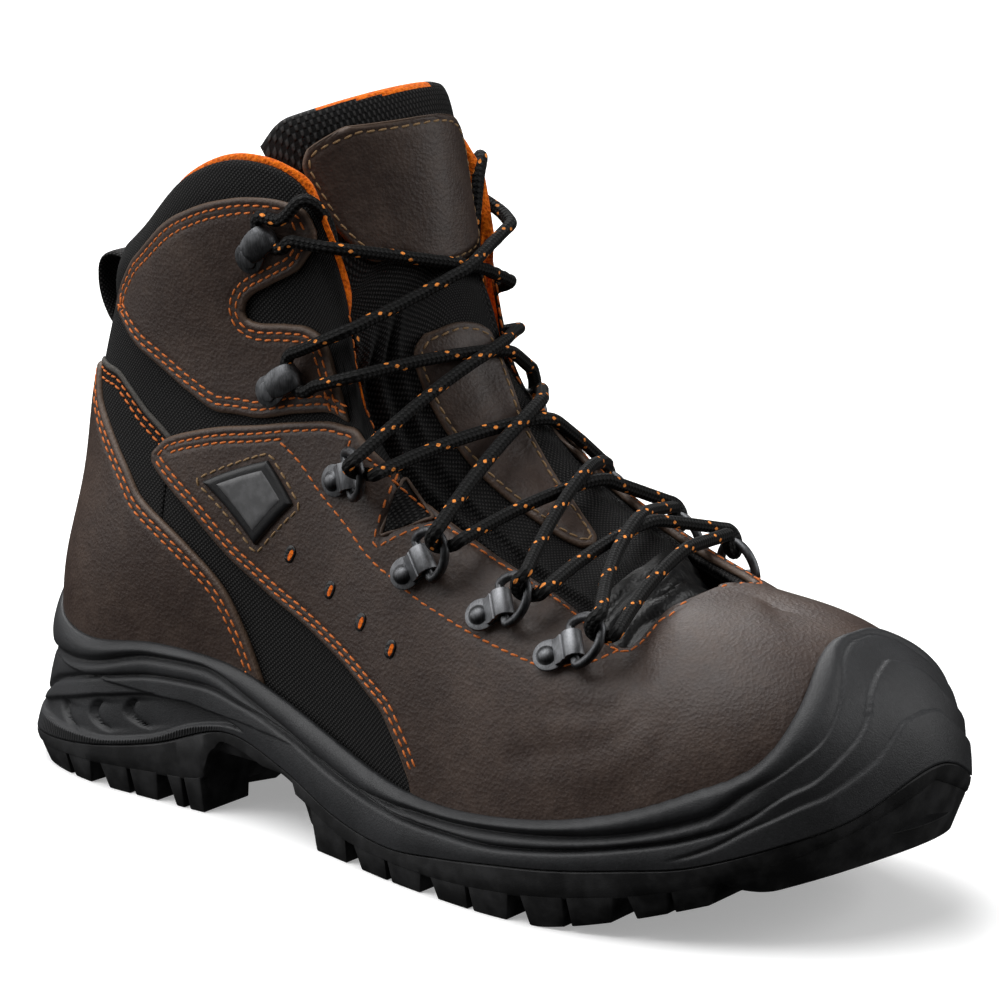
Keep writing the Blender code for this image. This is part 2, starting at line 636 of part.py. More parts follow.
def make_vamp():
    """Vamp and both quarters: one leather sheet round the toe, closed over the ridge."""
    t0 = QUARTER_TOP[0][0]
    half = panel_columns(t0, TOE)
    ts = np.concatenate([half, (COLUMNS - half[:-1])[::-1]])
    twin = np.minimum(ts, COLUMNS - ts)
    low = np.maximum(outline(QUARTER_LOW, twin), lip_share(ts))
    high = np.maximum(outline(QUARTER_TOP, twin), low + 0.01)
    points, faces = panel_grid(ts, low, high)
    top = len(GRID_H)
    first = int(np.searchsorted(half, RIDGE - 1e-6))
    n = len(ts)
    for j in range(first, len(half) - 1):
        ring = [j, j + 1, n - j - 2, n - j - 1]
        ring = [i * top + top - 1 for k, i in enumerate(ring) if i not in ring[:k]]
        faces.append(ring)
    obj = build("vamp_quarter", "leather", points, faces)
    thicken(obj, LEATHER, MIDDLE)
    return obj


def make_counter():
    t1 = COUNTER_TOP[-1][0]
    half = panel_columns(0, t1)
    ts = np.concatenate([-half[:0:-1], half])
    low = lip_share(ts)
    high = np.maximum(outline(COUNTER_TOP, np.abs(ts)), low + 0.01)
    obj = build("heel_counter", "leather", *panel_grid(ts, low, high))
    thicken(obj, LEATHER, MIDDLE)
    return obj


def make_ankle(name, mirrored):
    lower = panel_columns(ANKLE_LOW[0][0], ANKLE_LOW[-1][0])
    upper = np.array([t for t in lower if t < ANKLE_BAY_TOP[-1][0] - 0.1] + [ANKLE_BAY_TOP[-1][0]])
    low_bay = outline(ANKLE_BAY_LOW, lower)
    parts = [panel_grid(lower, outline(ANKLE_LOW, lower), low_bay, mirrored),
             panel_grid(upper, outline(ANKLE_BAY_TOP, upper), outline(ANKLE_TOP, upper), mirrored)]
    obj = build(name, "leather", *merged(parts))
    thicken(obj, LEATHER, (95, 0, 150))
    return obj


def tongue_rails():
    """Outer edge, crown and inner edge at each station."""
    t = np.array([row[0] for row in TONGUE])
    outer = skin(t, np.full(len(t), TONGUE_EDGE_H), np.full(len(t), -TONGUE_DEPTH))
    inner = skin(COLUMNS - t, np.full(len(t), TONGUE_EDGE_H), np.full(len(t), -TONGUE_DEPTH))
    crown = np.array([row[1:] for row in TONGUE], float)
    outer = np.concatenate([outer, [TONGUE_TOP_OUTER]])
    inner = np.concatenate([inner, [TONGUE_TOP_INNER]])
    crown = np.concatenate([crown, [TONGUE_TOP]])
    return outer, crown, inner


TONGUE_RAILS = tongue_rails()


def tongue(s, u):
    """Point of the tongue's outer face at station s and share u across."""
    s, u = np.broadcast_arrays(np.asarray(s, float), np.asarray(u, float))
    top = len(TONGUE)
    k = np.clip(np.floor(s).astype(int), 0, top - 1)
    f = (s - k)[..., None]
    rails = []
    for rail in TONGUE_RAILS:
        p = [rail[np.clip(k + i, 0, top)] for i in (-1, 0, 1, 2)]
        rails.append(0.5 * (2 * p[1] + (p[2] - p[0]) * f + (2 * p[0] - 5 * p[1] + 4 * p[2] - p[3]) * f ** 2
                            + (3 * p[1] - p[0] - 3 * p[2] + p[3]) * f ** 3))
    outer, crown, inner = rails
    side = (u[..., None] + 1) / 2
    chord = outer + (inner - outer) * side
    full = np.where(u > 0, smooth_step(s, *INNER_FULL_FROM), smooth_step(s, *OUTER_FULL_FROM))
    flare = TONGUE_FLARE + (TONGUE_FULL - TONGUE_FLARE) * full
    rise = (np.clip(1 - u ** 2, 0, 1) ** flare)[..., None]
    return chord + (crown - (outer + inner) / 2) * rise


def tongue_normal(s, u):
    top = len(TONGUE)
    s, u = np.broadcast_arrays(np.asarray(s, float), np.asarray(u, float))
    sm = np.clip(s, 0.05, top - 0.05)
    um = np.clip(u, -0.97, 0.97)
    along = tongue(sm + 0.05, um) - tongue(sm - 0.05, um)
    side = tongue(sm, um + 0.03) - tongue(sm, um - 0.03)
    normal = np.cross(side, along)
    normal = normal / np.linalg.norm(normal, axis=-1, keepdims=True)
    return np.where(normal[..., :1] < 0, -normal, normal)


def make_tongue():
    s = np.sort(np.concatenate([np.arange(len(TONGUE) + 1), TONGUE_TOP_ROWS]))
    u = np.array(TONGUE_ACROSS)
    points = tongue(s[:, None], u[None, :]).reshape(-1, 3)
    obj = build("tongue", "textile", points, quads(len(s), len(u), False))
    thicken(obj, -TONGUE_THICK, (90, 0, 60))
    return obj


def make_tongue_leather(name, low_table, high_table):
    s0, s1 = low_table[0][0], low_table[-1][0]
    s = np.array([s0] + [k for k in range(len(TONGUE) + 1) if s0 + 0.2 < k < s1 - 0.2] + [s1])
    s = np.sort(np.unique(np.concatenate([s, [row[0] for row in low_table]])))
    levels = np.array([snapped(TONGUE_ACROSS, lo, hi, 0.05)
                       for lo, hi in zip(outline(low_table, s), outline(high_table, s))])
    points = tongue(s[:, None], levels) + tongue_normal(s[:, None], levels) * PATCH_GAP
    obj = build(name, "leather", points.reshape(-1, 3), quads(len(s), len(TONGUE_ACROSS), False))
    thicken(obj, LEATHER, (90, 0, 60))
    return obj


def plate_frame(t, h, turn, seat, mirrored):
    """Seat of a lace fitting: its point, the direction to the throat, its width direction and outward."""
    side = COLUMNS - t if mirrored else t
    point = last(side, h)
    normal = last_normal(side, h)
    up = last(side, h + 0.03) - last(side, h - 0.03)
    forward = last(side + 0.1, h) - last(side - 0.1, h)
    if mirrored:
        forward = -forward
    up = up / np.linalg.norm(up)
    forward = forward / np.linalg.norm(forward)
    along = up * np.cos(turn) + forward * np.sin(turn)
    along = along - normal * np.dot(along, normal)
    along = along / np.linalg.norm(along)
    width = np.cross(normal, along)
    return point + normal * (SKIN_GAP + LEATHER + seat), along, width, normal


def placed(frame, local):
    origin, along, width, normal = frame
    local = np.asarray(local, float)
    return origin + local[..., 0:1] * along + local[..., 1:2] * width + local[..., 2:3] * normal


def bent_strip(centre_line, thickness, width):
    """Sheet-metal strip: a bent line given thickness and width, in the fitting's own axes."""
    line = np.asarray(centre_line, float)
    run = np.gradient(line, axis=0)
    run = run / np.linalg.norm(run, axis=1, keepdims=True)
    side = np.stack([-run[:, 1], run[:, 0]], 1)
    loop = np.concatenate([line + side * thickness / 2, (line - side * thickness / 2)[::-1]])
    flat = [np.column_stack([loop[:, 0], np.full(len(loop), y), loop[:, 1]]) for y in (-width / 2, width / 2)]
    n = len(loop)
    faces = [(i, (i + 1) % n, n + (i + 1) % n, n + i) for i in range(n)]
    m = len(line)
    for start in (0, n):
        faces += [(start + i, start + i + 1, start + n - 2 - i, start + n - 1 - i) for i in range(m - 1)]
    return np.concatenate(flat), faces


def rivet_head():
    """Low domed head, in the fitting's own axes."""
    turn = np.linspace(0, 2 * np.pi, RIVET_SIDES, endpoint=False)
    rings = []
    for radius, z in ((RIVET_RADIUS, PLATE_THICK * 0.4), (RIVET_RADIUS, PLATE_THICK + 0.5),
                      (RIVET_TOP, PLATE_THICK + RIVET_RISE)):
        rings.append(np.column_stack([radius * np.cos(turn) - RIVET_BACK, radius * np.sin(turn), np.full(RIVET_SIDES, z)]))
    n = RIVET_SIDES
    faces = quads(3, n, True) + [tuple(range(n))[::-1], tuple(range(2 * n, 3 * n))]
    return np.concatenate(rings), faces


def ring_pivot():
    return np.array([PLATE_FRONT, 0, PLATE_THICK / 2 + CURL_RADIUS])


def make_clip(name, frame):
    turn = np.radians(np.linspace(-90, CURL_END, 6))
    centre = ring_pivot()
    curl = np.column_stack([centre[0] + CURL_RADIUS * np.cos(turn), centre[2] + CURL_RADIUS * np.sin(turn)])
    line = np.concatenate([[(-PLATE_BACK, PLATE_THICK / 2)], curl])
    points, faces = bent_strip(line, PLATE_THICK, PLATE_WIDTH)
    obj = build(name, "metal", placed(frame, points), faces)
    points, faces = rivet_head()
    join_union(obj, [build(name + "_head", "metal", placed(frame, points), faces)])
    return obj


def sweep(path, radius, sides, closed):
    """Round wire along a path."""
    path = np.asarray(path, float)
    if closed:
        run = np.roll(path, -1, 0) - np.roll(path, 1, 0)
    else:
        run = np.gradient(path, axis=0)
    run = run / np.linalg.norm(run, axis=1, keepdims=True)
    turn = np.linspace(0, 2 * np.pi, sides, endpoint=False)
    side = np.cross(run[0], (0.31, 0.17, 0.94))
    rings = []
    for point, direction in zip(path, run):
        side = side - direction * np.dot(side, direction)
        side = side / np.linalg.norm(side)
        other = np.cross(direction, side)
        rings.append(point + radius * (np.cos(turn)[:, None] * side + np.sin(turn)[:, None] * other))
    n = len(path)
    faces = quads(n, sides, True)
    if closed:
        shift = int(np.argmin(np.linalg.norm(rings[0] - rings[-1][0], axis=1)))
        faces += [((n - 1) * sides + i, (n - 1) * sides + (i + 1) % sides,
                   (i + 1 + shift) % sides, (i + shift) % sides) for i in range(sides)]
    else:
        faces += [tuple(range(sides))[::-1], tuple(range((n - 1) * sides, n * sides))]
    return np.concatenate(rings), faces


def ring_loop(tilt):
    """Centre line of a D ring at a tilt off its plate, in the fitting's own axes."""
    turn = np.radians(np.linspace(0, 180, 7))
    across_ring = RING_HALF * np.cos(turn)
    reach = 2.5 + (RING_REACH - 2.5) * np.sin(turn)
    across_ring = np.concatenate([[RING_HALF - 0.6], across_ring, [-RING_HALF + 0.6, 0]])
    reach = np.concatenate([[0], reach, [0, 0]])
    tilt = np.radians(tilt)
    return np.column_stack([reach * np.cos(tilt), across_ring, reach * np.sin(tilt)]) + ring_pivot()


def ring_eye(frame, tilt, toeward):
    """Points inside a D ring where the lace's toeward and upper strands pass."""
    tilt = np.radians(tilt)
    reach = RING_REACH - WIRE - LACE / 2 - 0.6
    middle = np.array([reach * np.cos(tilt), 0, reach * np.sin(tilt)]) + ring_pivot()
    pair = np.array([(0, toeward * LACE_PAIR, 0), (0, -toeward * LACE_PAIR, 0)])
    return placed(frame, middle + pair)


def make_ring(name, frame, tilt):
    points, faces = sweep(ring_loop(tilt), WIRE, RING_SIDES, True)
    return build(name, "metal", placed(frame, points), faces)


def make_hook(name, frame):
    turn = np.radians(np.linspace(-90, 90, 5))
    middle = PLATE_THICK / 2 + HOOK_RISE
    bend = np.column_stack([PLATE_FRONT + HOOK_RISE * np.cos(turn), middle + HOOK_RISE * np.sin(turn)])
    line = np.concatenate([[(-PLATE_BACK - 1, PLATE_THICK / 2)], bend, [(PLATE_FRONT - HOOK_LIP, middle + HOOK_RISE)]])
    points, faces = bent_strip(line, PLATE_THICK, HOOK_WIDTH)
    obj = build(name, "metal", placed(frame, points), faces)
    points, faces = rivet_head()
    points[:, 0] -= 1.2
    join_union(obj, [build(name + "_head", "metal", placed(frame, points), faces)])
    return obj


def hook_eye(frame, toeward):
    """Points where the lace's lower and upper strands leave a hook."""
    reach = HOOK_WIDTH / 2 + LACE / 2
    pair = np.array([(0, toeward * reach, 0), (0, -toeward * reach, 0)])
    return placed(frame, np.array([PLATE_FRONT + 0.2, 0, PLATE_THICK / 2 + HOOK_RISE]) + pair)


def make_hardware():
    """All lace fittings; returns the lace points from the front to the top, outer side and inner side."""
    eyes = {"outer": [], "inner": []}
    for side, mirrored in (("outer", False), ("inner", True)):
        toeward = 1 if mirrored else -1
        tilt = INNER_RING_TILT if mirrored else RING_TILT
        for name, t, h, turn, seat in INNER_RINGS if mirrored else RINGS:
            frame = plate_frame(t, h, turn, seat, mirrored)
            make_clip(side + "_clip" + name[4:], frame)
            make_ring(side + "_" + name, frame, tilt)
            eyes[side].append(ring_eye(frame, tilt, toeward))
        for name, t, h, turn, seat in HOOKS:
            frame = plate_frame(t, h, turn, seat, mirrored)
            make_hook(side + "_" + name, frame)
            eyes[side].append(hook_eye(frame, toeward))
    return eyes


# Station along the tongue that each pair of fittings faces, from the front up.
LACE_BAR_STATION = 2.2
LACE_STATIONS = (3.0, 4.6, 6.5, 8.4, 10.1, 11.9)


def over_edge(eye, crown, face, inner, drop):
    """Point just over the throat's edge where a lace run between an eye and the crown passes it."""
    t = np.linspace(5.2, 11.0, 59)
    side = COLUMNS - t if inner else t
    off = last_normal(side, 0.97) + face
    off = off / np.linalg.norm(off, axis=1, keepdims=True)
    edge = last(side, 0.97) + off * (LACE_EDGE - drop)
    run = crown - eye
    share = np.clip((edge - eye) @ run / np.dot(run, run), 0, 1)
    away = np.linalg.norm(eye + share[:, None] * run - edge, axis=1)
    return edge[int(np.argmin(away))]


FACE_T, FACE_H = np.meshgrid(np.linspace(3, 27, 241), np.linspace(0.5, 1.0, 41), indexing="ij")
FACE = last(FACE_T, FACE_H).reshape(-1, 3)
FACE_NORMAL = last_normal(FACE_T, FACE_H).reshape(-1, 3)


def held_off(point, clear):
    """A lace point pushed off the upper's face and leather where it would lie too close."""
    away = point - FACE
    near = int(np.argmin((away ** 2).sum(1)))
    off = away[near]
    size = np.linalg.norm(off)
    if size > 2 * clear:
        return point
    if np.dot(off, FACE_NORMAL[near]) < 0:
        return FACE[near] + FACE_NORMAL[near] * clear
    return point if size > clear else FACE[near] + off / size * clear


def lace_run(start, end, s0, s1, lift, drop):
    """Path of one lace run over the tongue, from the outer eye to the inner one."""
    u = np.array([-0.22, 0.0, 0.22])
    s = s0 + (s1 - s0) * (u + 1) / 2
    height = LACE_LIFT + lift * (1 - u ** 2)
    face = tongue_normal(s, u)
    middle = tongue(s, u) + face * height[:, None]
    knots = np.concatenate([[start, over_edge(start, middle[0], face[0], False, drop)], middle,
                            [over_edge(end, middle[-1], face[-1], True, drop), end]])
    knots = np.concatenate([[2 * knots[0] - knots[1]], knots, [2 * knots[-1] - knots[-2]]])
    at = np.array(LACE_KNOTS)
    i = np.floor(at).astype(int)
    f = (at - i)[:, None]
    a, b, c, d = (knots[i + k] for k in range(4))
    path = 0.5 * (2 * b + (c - a) * f + (2 * a - 5 * b + 4 * c - d) * f ** 2 + (3 * b - a - 3 * c + d) * f ** 3)
    return np.array([held_off(point, LACE_CLEAR - drop) for point in path])


def make_lace(eyes):
    """Front bar, then one crossing between each pair of fittings and the next."""
    outer, inner = eyes["outer"], eyes["inner"]
    bar = lace_run(outer[0][0], inner[0][0], LACE_BAR_STATION, LACE_BAR_STATION, 0, LACE_FRONT_DROP)
    build("lace_bar", "lace", *sweep(bar, LACE / 2, LACE_SIDES, False))
    for k in range(len(outer) - 1):
        drop = LACE_FRONT_DROP if k == 0 else 0
        low, high = LACE_STATIONS[k], LACE_STATIONS[k + 1]
        rising = lace_run(outer[k][1], inner[k + 1][0], low, high, LACE_CROSS, drop)
        falling = lace_run(outer[k + 1][0], inner[k][1], high, low, 0, drop)
        over = build("lace_cross_%d" % (k + 1), "lace", *sweep(rising, LACE / 2, LACE_SIDES, False))
        join_union(over, [build("lace_under", "lace", *sweep(falling, LACE / 2, LACE_SIDES, False))])


def make_badge():
    side = np.linspace(0, 1, BADGE_CELLS + 1)
    a, b, c, d = (np.array(corner) for corner in BADGE)
    p, q = np.meshgrid(side, side, indexing="ij")
    place = (a + (b - a) * p[..., None]) * (1 - q[..., None]) + (d + (c - d) * p[..., None]) * q[..., None]
    lift = np.full(p.shape, SKIN_GAP + LEATHER + SKIN_GAP)
    points = skin(place[..., 0], place[..., 1], lift)
    n = BADGE_CELLS + 1
    obj = build("badge", "badge", points.reshape(-1, 3), quads(n, n, False))
    thicken(obj, BADGE_THICK, MIDDLE)


def make_loop():
    points, faces = bent_strip(LOOP, LOOP_THICK, LOOP_WIDTH)
    build("pull_loop", "textile", points, faces)


def main():
    for obj in list(bpy.data.objects):
        bpy.data.objects.remove(obj)
    make_outsole()
    make_midsole()
    make_insole()
    make_upper()
    make_vamp()
    make_counter()
    make_ankle("ankle_outer", False)
    make_ankle("ankle_inner", True)
    make_tongue()
    make_tongue_leather("tongue_patch", PATCH_LOW, PATCH_HIGH)
    make_tongue_leather("tongue_strip", STRIP_LOW, STRIP_HIGH)
    make_badge()
    make_loop()
    make_lace(make_hardware())


main()
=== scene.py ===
"""Finished surfaces of a right-foot safety boot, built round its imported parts."""
import math

import bpy
import numpy as np
from mathutils import Matrix, Vector
from mathutils.kdtree import KDTree

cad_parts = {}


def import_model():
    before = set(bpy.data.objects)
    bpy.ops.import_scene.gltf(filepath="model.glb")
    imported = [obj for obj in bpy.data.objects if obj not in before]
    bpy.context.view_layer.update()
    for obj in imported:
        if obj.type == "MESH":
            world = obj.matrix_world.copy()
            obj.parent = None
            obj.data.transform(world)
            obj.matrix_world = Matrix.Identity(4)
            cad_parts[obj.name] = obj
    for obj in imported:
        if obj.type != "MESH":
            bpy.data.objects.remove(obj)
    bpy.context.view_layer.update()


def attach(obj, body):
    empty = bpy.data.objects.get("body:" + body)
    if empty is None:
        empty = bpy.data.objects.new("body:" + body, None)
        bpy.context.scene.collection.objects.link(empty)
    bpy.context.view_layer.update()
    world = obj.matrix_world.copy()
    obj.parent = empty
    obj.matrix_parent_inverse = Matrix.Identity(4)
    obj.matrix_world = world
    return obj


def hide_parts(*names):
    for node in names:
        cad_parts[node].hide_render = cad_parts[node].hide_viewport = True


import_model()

bl_info = {
    "name": "Safety boot surfaces",
    "version": (1, 0, 0),
    "blender": (4, 5, 0),
    "location": "3D View > Sidebar > Boot",
    "description": "Leather, textile, sole, lace and fittings of a safety boot",
    "category": "Object",
}

# The tables are in millimetres: x from the heel's back to the toe, y to the inner side, z up.
MM = 0.001
ORIGIN = np.array((154.5, -1.5, 0.0))
BODY = "root"

# One row per column round the last, heel back, outer side, toe, inner side.
# base x, y, z on the feather line, top x, y, z on the collar, throat or toe ridge, roundness, belly, waist
LAST = (
    ("heel_back", 13, 0, 33, 37, 0, 152, 1.0, 4, 2),
    ("heel_corner", 21, -21, 33, 43, -19, 155, 1.0, 3.5, 2),
    ("heel_side", 42, -33, 33, 60, -29, 166, 1.0, 3, 0),
    ("heel_front", 70, -36, 33, 83, -37, 184, 1.0, 2, -3),
    ("ankle", 98, -36.5, 32, 106, -40, 192, 1.05, 1, -5),
    ("waist_rear", 122, -39, 30, 126, -37, 186, 1.15, 1, -5),
    ("waist", 146, -43.5, 27, 136, -32, 160, 1.3, 1, -3),
    ("waist_front", 168, -48, 23, 141, -30, 128, 1.4, 1, -1),
    ("ball_rear", 188, -51, 20, 156, -28, 106, 1.5, 0, 0),
    ("ball", 208, -53, 20, 180, -26, 92, 1.7, 0, 0),
    ("throat_corner", 228, -52, 21, 205, -25, 82, 1.9, 0, 0),
    ("throat_bow", 247, -48, 24, 228, -25, 72, 2.1, 0, 0),
    ("throat_front", 264, -42, 28, 233, -6, 80, 2.3, 0, 0),
    ("toe_root", 280, -33, 33, 246, 5, 80.5, 2.4, 0, 0),
    ("toe_corner", 294, -18, 36, 253, 7, 79, 2.4, 0, 0),
    ("toe_tip", 303, 7, 37, 256, 8, 78.5, 2.4, 0, 0),
    ("inner_toe_corner", 297, 29, 36, 253, 9, 79, 2.4, 0, 0),
    ("inner_toe_root", 280, 43, 33, 246, 10, 80, 2.3, 0, 0),
    ("inner_throat_front", 260, 48, 28, 234, 9, 81.5, 2.2, 0, 0),
    ("inner_throat_bow", 242, 50, 24, 231, 23, 79.5, 2.0, 0, 0),
    ("inner_throat_corner", 224, 49.5, 21, 206, 25, 87, 1.9, 0, 0),
    ("inner_ball", 204, 48, 20, 182, 25, 98, 1.75, 0, 0),
    ("inner_ball_rear", 184, 44, 21, 159, 27, 112, 1.6, 0, 0),
    ("inner_waist_front", 164, 38, 24, 143, 29, 132, 1.45, 1, 0),
    ("inner_waist", 142, 33.5, 28, 136, 32, 161, 1.3, 1, -3),
    ("inner_waist_rear", 119, 32, 31, 125, 36, 186, 1.15, 1, -5),
    ("inner_ankle", 96, 33, 33, 105, 39, 192, 1.05, 1, -5),
    ("inner_heel_front", 70, 34, 33, 83, 36, 184, 1.0, 2, -3),
    ("inner_heel_side", 42, 32.5, 33, 60, 29, 166, 1.0, 3, 0),
    ("inner_heel_corner", 21, 21, 33, 43, 19, 155, 1.0, 3.5, 2),
)
# Sole wall on the same columns, outer half then mirrored: lip z, seam z, and how far out the wall
# stands at the lip, half way, at the seam and at the tread.
SOLE = (
    ("heel_back", 56, 7, 3.2, 6, 13, 11),
    ("heel_corner", 47, 9, 3.2, 5.5, 11, 9),
    ("heel_side", 44, 12, 3.6, 5, 7, 5.5),
    ("heel_front", 48, 18, 3.6, 4.2, 5, 3.5),
    ("ankle", 47, 27, 3.6, 4.2, 4.7, 3),
    ("waist_rear", 41, 22, 3.6, 4.2, 4.7, 3),
    ("waist", 34, 13.5, 3.6, 4.2, 4.7, 3.5),
    ("waist_front", 28.5, 10.5, 3.6, 4.2, 4.7, 4),
    ("ball_rear", 26.5, 12.5, 3.6, 4.2, 4.7, 4),
    ("ball", 28, 15.5, 3.6, 4.2, 4.7, 3.5),
    ("throat_corner", 31, 18, 3.6, 4.2, 4.7, 2.5),
    ("throat_bow", 36, 21, 3.6, 4.2, 4.7, 2),
    ("throat_front", 43, 24, 3.6, 4.4, 5.2, 1.5),
    ("toe_root", 52, 30, 3.6, 4.8, 6, 1.5),
    ("toe_corner", 72, 37, 3.6, 5, 6.4, 1.5),
    ("toe_tip", 75.5, 47, 3.6, 5, 6.6, 1.5),
)
COLUMNS = len(LAST)
TOE = COLUMNS // 2
RIDGE = 12

# Sizes of the solids that the surfaces follow.
SKIN_GAP = 0.5
CUP_GAP = 0.8
JOIN_GAP = 0.3
TREAD = 5.5
BREAST_X = 90
ARCH_END_X = 129
ARCH_STEP = 3
ARCH_Z = 19.5
ARCH_SKIN = 2.5
SPRING_X = 222
SPRING_RUN = 82
SPRING_RISE = 25
SPRING_POWER = 1.25
TOE_SMOOTH_X = (268, 284)
SHELF = 3.5
MIDSOLE_FLOOR = 6
INSOLE_SIDE_GAP = 0.6
INSOLE_THICK = 3.5
UPPER_WALL = 2.4

# Leather outlines as column and share of column height.
COUNTER_TOP = ((0, 0.725), (1.05, 0.72), (1.43, 0.625), (1.8, 0.55), (2.27, 0.458), (2.6, 0.385),
               (3.37, 0.292), (3.9, 0.225), (4.27, 0.15), (4.55, 0.075))
QUARTER_LOW = ((2.66, 0.465), (2.8, 0.435), (3.23, 0.375), (4.1, 0.275), (4.97, 0.235), (6.03, 0.225),
               (6.8, 0.21), (7.13, 0.15), (7.4, 0.06))
QUARTER_TOP = ((2.66, 0.475), (2.9, 0.5), (3.4, 0.51), (4.1, 0.525), (4.87, 0.567), (5.67, 0.66),
               (6.47, 0.785), (6.97, 0.86), (7.6, 0.93), (8.4, 0.97), (10.4, 0.975), (11.0, 0.95), (11.7, 1.0))
ANKLE_LOW = ((1.5, 0.845), (1.9, 0.775), (2.4, 0.69), (3.13, 0.585), (3.7, 0.54), (4.1, 0.54),
             (4.87, 0.582), (5.67, 0.675), (5.95, 0.71))
BAY_TIP = 3.95
ANKLE_BAY_LOW = ((1.5, 0.86), (2.5, 0.8), (BAY_TIP, 0.728), (3.98, 0.716), (4.13, 0.71), (4.63, 0.727),
                 (5.0, 0.75), (5.43, 0.772), (5.7, 0.742), (5.95, 0.715))
ANKLE_BAY_TOP = ((1.5, 0.86), (2.5, 0.8), (BAY_TIP, 0.728), (3.98, 0.742), (4.1, 0.76), (4.37, 0.785),
                 (4.87, 0.842), (5.3, 0.94))
ANKLE_TOP = ((1.5, 0.87), (1.6, 0.905), (1.9, 0.94), (2.47, 0.945), (3.1, 0.935), (3.63, 0.933),
             (4.13, 0.94), (4.77, 0.957), (5.15, 0.972), (5.3, 0.965))
# Single stitched line across the quarter and vamp.
QUARTER_SEAM = ((4.63, 0.517), (5.43, 0.492), (6.37, 0.517), (7.3, 0.592), (8.2, 0.625), (8.97, 0.625),
                (9.77, 0.633), (10.03, 0.658), (10.53, 0.775), (10.93, 0.925))
TRIANGLE = ((7.0, 0.65), (7.8, 0.958), (8.3, 0.925))
VENTS = ((5.03, 0.342), (5.8, 0.35), (6.47, 0.367), (7.13, 0.392))
BADGE = ((3.55, 0.416), (4.5, 0.478), (5.0, 0.43), (4.43, 0.325))
BADGE_BORDER = ((3.42, 0.417), (4.5, 0.49), (5.13, 0.433), (4.43, 0.308))

# Tongue stations: column under whose edge it lies, crown x, y, z. The top row stands free of the collar.
TONGUE = (
    (11.0, 237, 1, 72.0), (10.7, 230, 1, 79.5), (10.3, 221, 1, 85.0), (9.9, 210, 1, 87.5), (9.45, 199, 1, 91.5),
    (9.0, 189, 1, 96.5), (8.5, 176, 1, 105), (8.0, 166, 1, 115), (7.5, 158, 1, 126), (7.0, 151.5, 1, 138),
    (6.5, 147, 2, 151), (6.0, 144.5, 3, 162), (5.6, 142.5, 4, 174), (5.25, 140, 5, 187),
)
TONGUE_END = len(TONGUE)
TONGUE_TOP = (135, 5, 211)
TONGUE_TOP_OUTER = (104, -35, 199)
TONGUE_TOP_INNER = (106, 36, 196)
TONGUE_EDGE_H = 0.86
TONGUE_DEPTH = 7.2
TONGUE_FLARE = 1.8
TONGUE_FULL = 0.7
INNER_FULL_FROM = (8.0, 11.0)
OUTER_FULL_FROM = (12.5, 14.0)
PATCH_GAP = 0.6
PATCH_LOW = ((10.85, -0.05), (11.2, -0.28), (12.0, -0.52), (13.0, -0.78), (13.3, -0.87), (13.6, -0.9), (13.7, -0.86), (13.74, -0.7))
PATCH_HIGH = ((10.85, 0.05), (11.0, 0.3), (11.4, 0.57), (12.0, 0.72), (12.85, 0.7), (13.28, 0.58), (13.48, 0.42), (13.56, 0.2),
              (13.6, -0.2), (13.68, -0.5), (13.74, -0.66))
STRIP_LOW = ((3.9, -0.14), (4.1, -0.22), (5.4, -0.31), (7.15, -0.41), (8.7, -0.45), (9.5, -0.46), (9.72, -0.44), (9.8, -0.4),
             (9.82, -0.35))
STRIP_HIGH = ((3.9, -0.08), (4.1, 0.0), (4.55, 0.06), (6.4, 0.2), (7.15, 0.22), (8.15, 0.28), (9.1, 0.37), (9.36, 0.38),
              (9.45, 0.33), (9.5, 0.2), (9.56, 0.0), (9.66, -0.2), (9.76, -0.3), (9.82, -0.34))

# Lace fittings on the outer side: column, share of height, turn of the plate towards the throat, seat gap.
RINGS = (("ring_1", 10.07, 0.71, 0.95, 0.9), ("ring_2", 9.08, 0.73, 0.95, 0.9),
         ("ring_3", 7.85, 0.7, 0.8, 0.9), ("ring_4", 5.95, 0.595, 0.8, 0.9))
HOOKS = (("hook_1", 4.66, 0.625, 0.85, 1.3), ("hook_2", 4.35, 0.86, 0.75, 0.3))
INNER_RINGS = (("ring_1", 9.85, 0.6, 0.0, 0.9), ("ring_2", 9.0, 0.6, 0.0, 0.9),
               ("ring_3", 7.85, 0.6, 0.1, 0.9), ("ring_4", 6.1, 0.57, 0.4, 1.2))
INNER_RING_TILT = math.radians(14)
PLATE_THICK = 1.0
PLATE_FRONT = 4.5
CURL_RADIUS = 2.4
WIRE = 1.3
RING_HALF = 6.4
RING_REACH = 11
RING_TILT = math.radians(30)
HOOK_WIDTH = 10.0
HOOK_BODY = 8.2
HOOK_RIDGE = 0.9
HOOK_RISE = 2.4
LEATHER = 1.5

LACE_STATIONS = (3.0, 4.6, 6.5, 8.4, 10.1, 11.9)
LACE_BAR_STATION = 2.2

# Pull loop behind the collar: x and z of its strap.
LOOP = ((29.6, 127.5), (26.5, 130.0), (23.0, 136.0), (21.8, 142.0), (22.6, 147.0), (26.5, 149.5), (32.5, 149.0))


def spline(table, t):
    """Closed Catmull-Rom curve through the table's rows."""
    t = np.asarray(t, float)
    i = np.floor(t).astype(int)
    f = (t - i)[..., None]
    a, b, c, d = (table[(i + k) % COLUMNS] for k in (-1, 0, 1, 2))
    return 0.5 * (2 * b + (c - a) * f + (2 * a - 5 * b + 4 * c - d) * f ** 2 + (3 * b - a - 3 * c + d) * f ** 3)


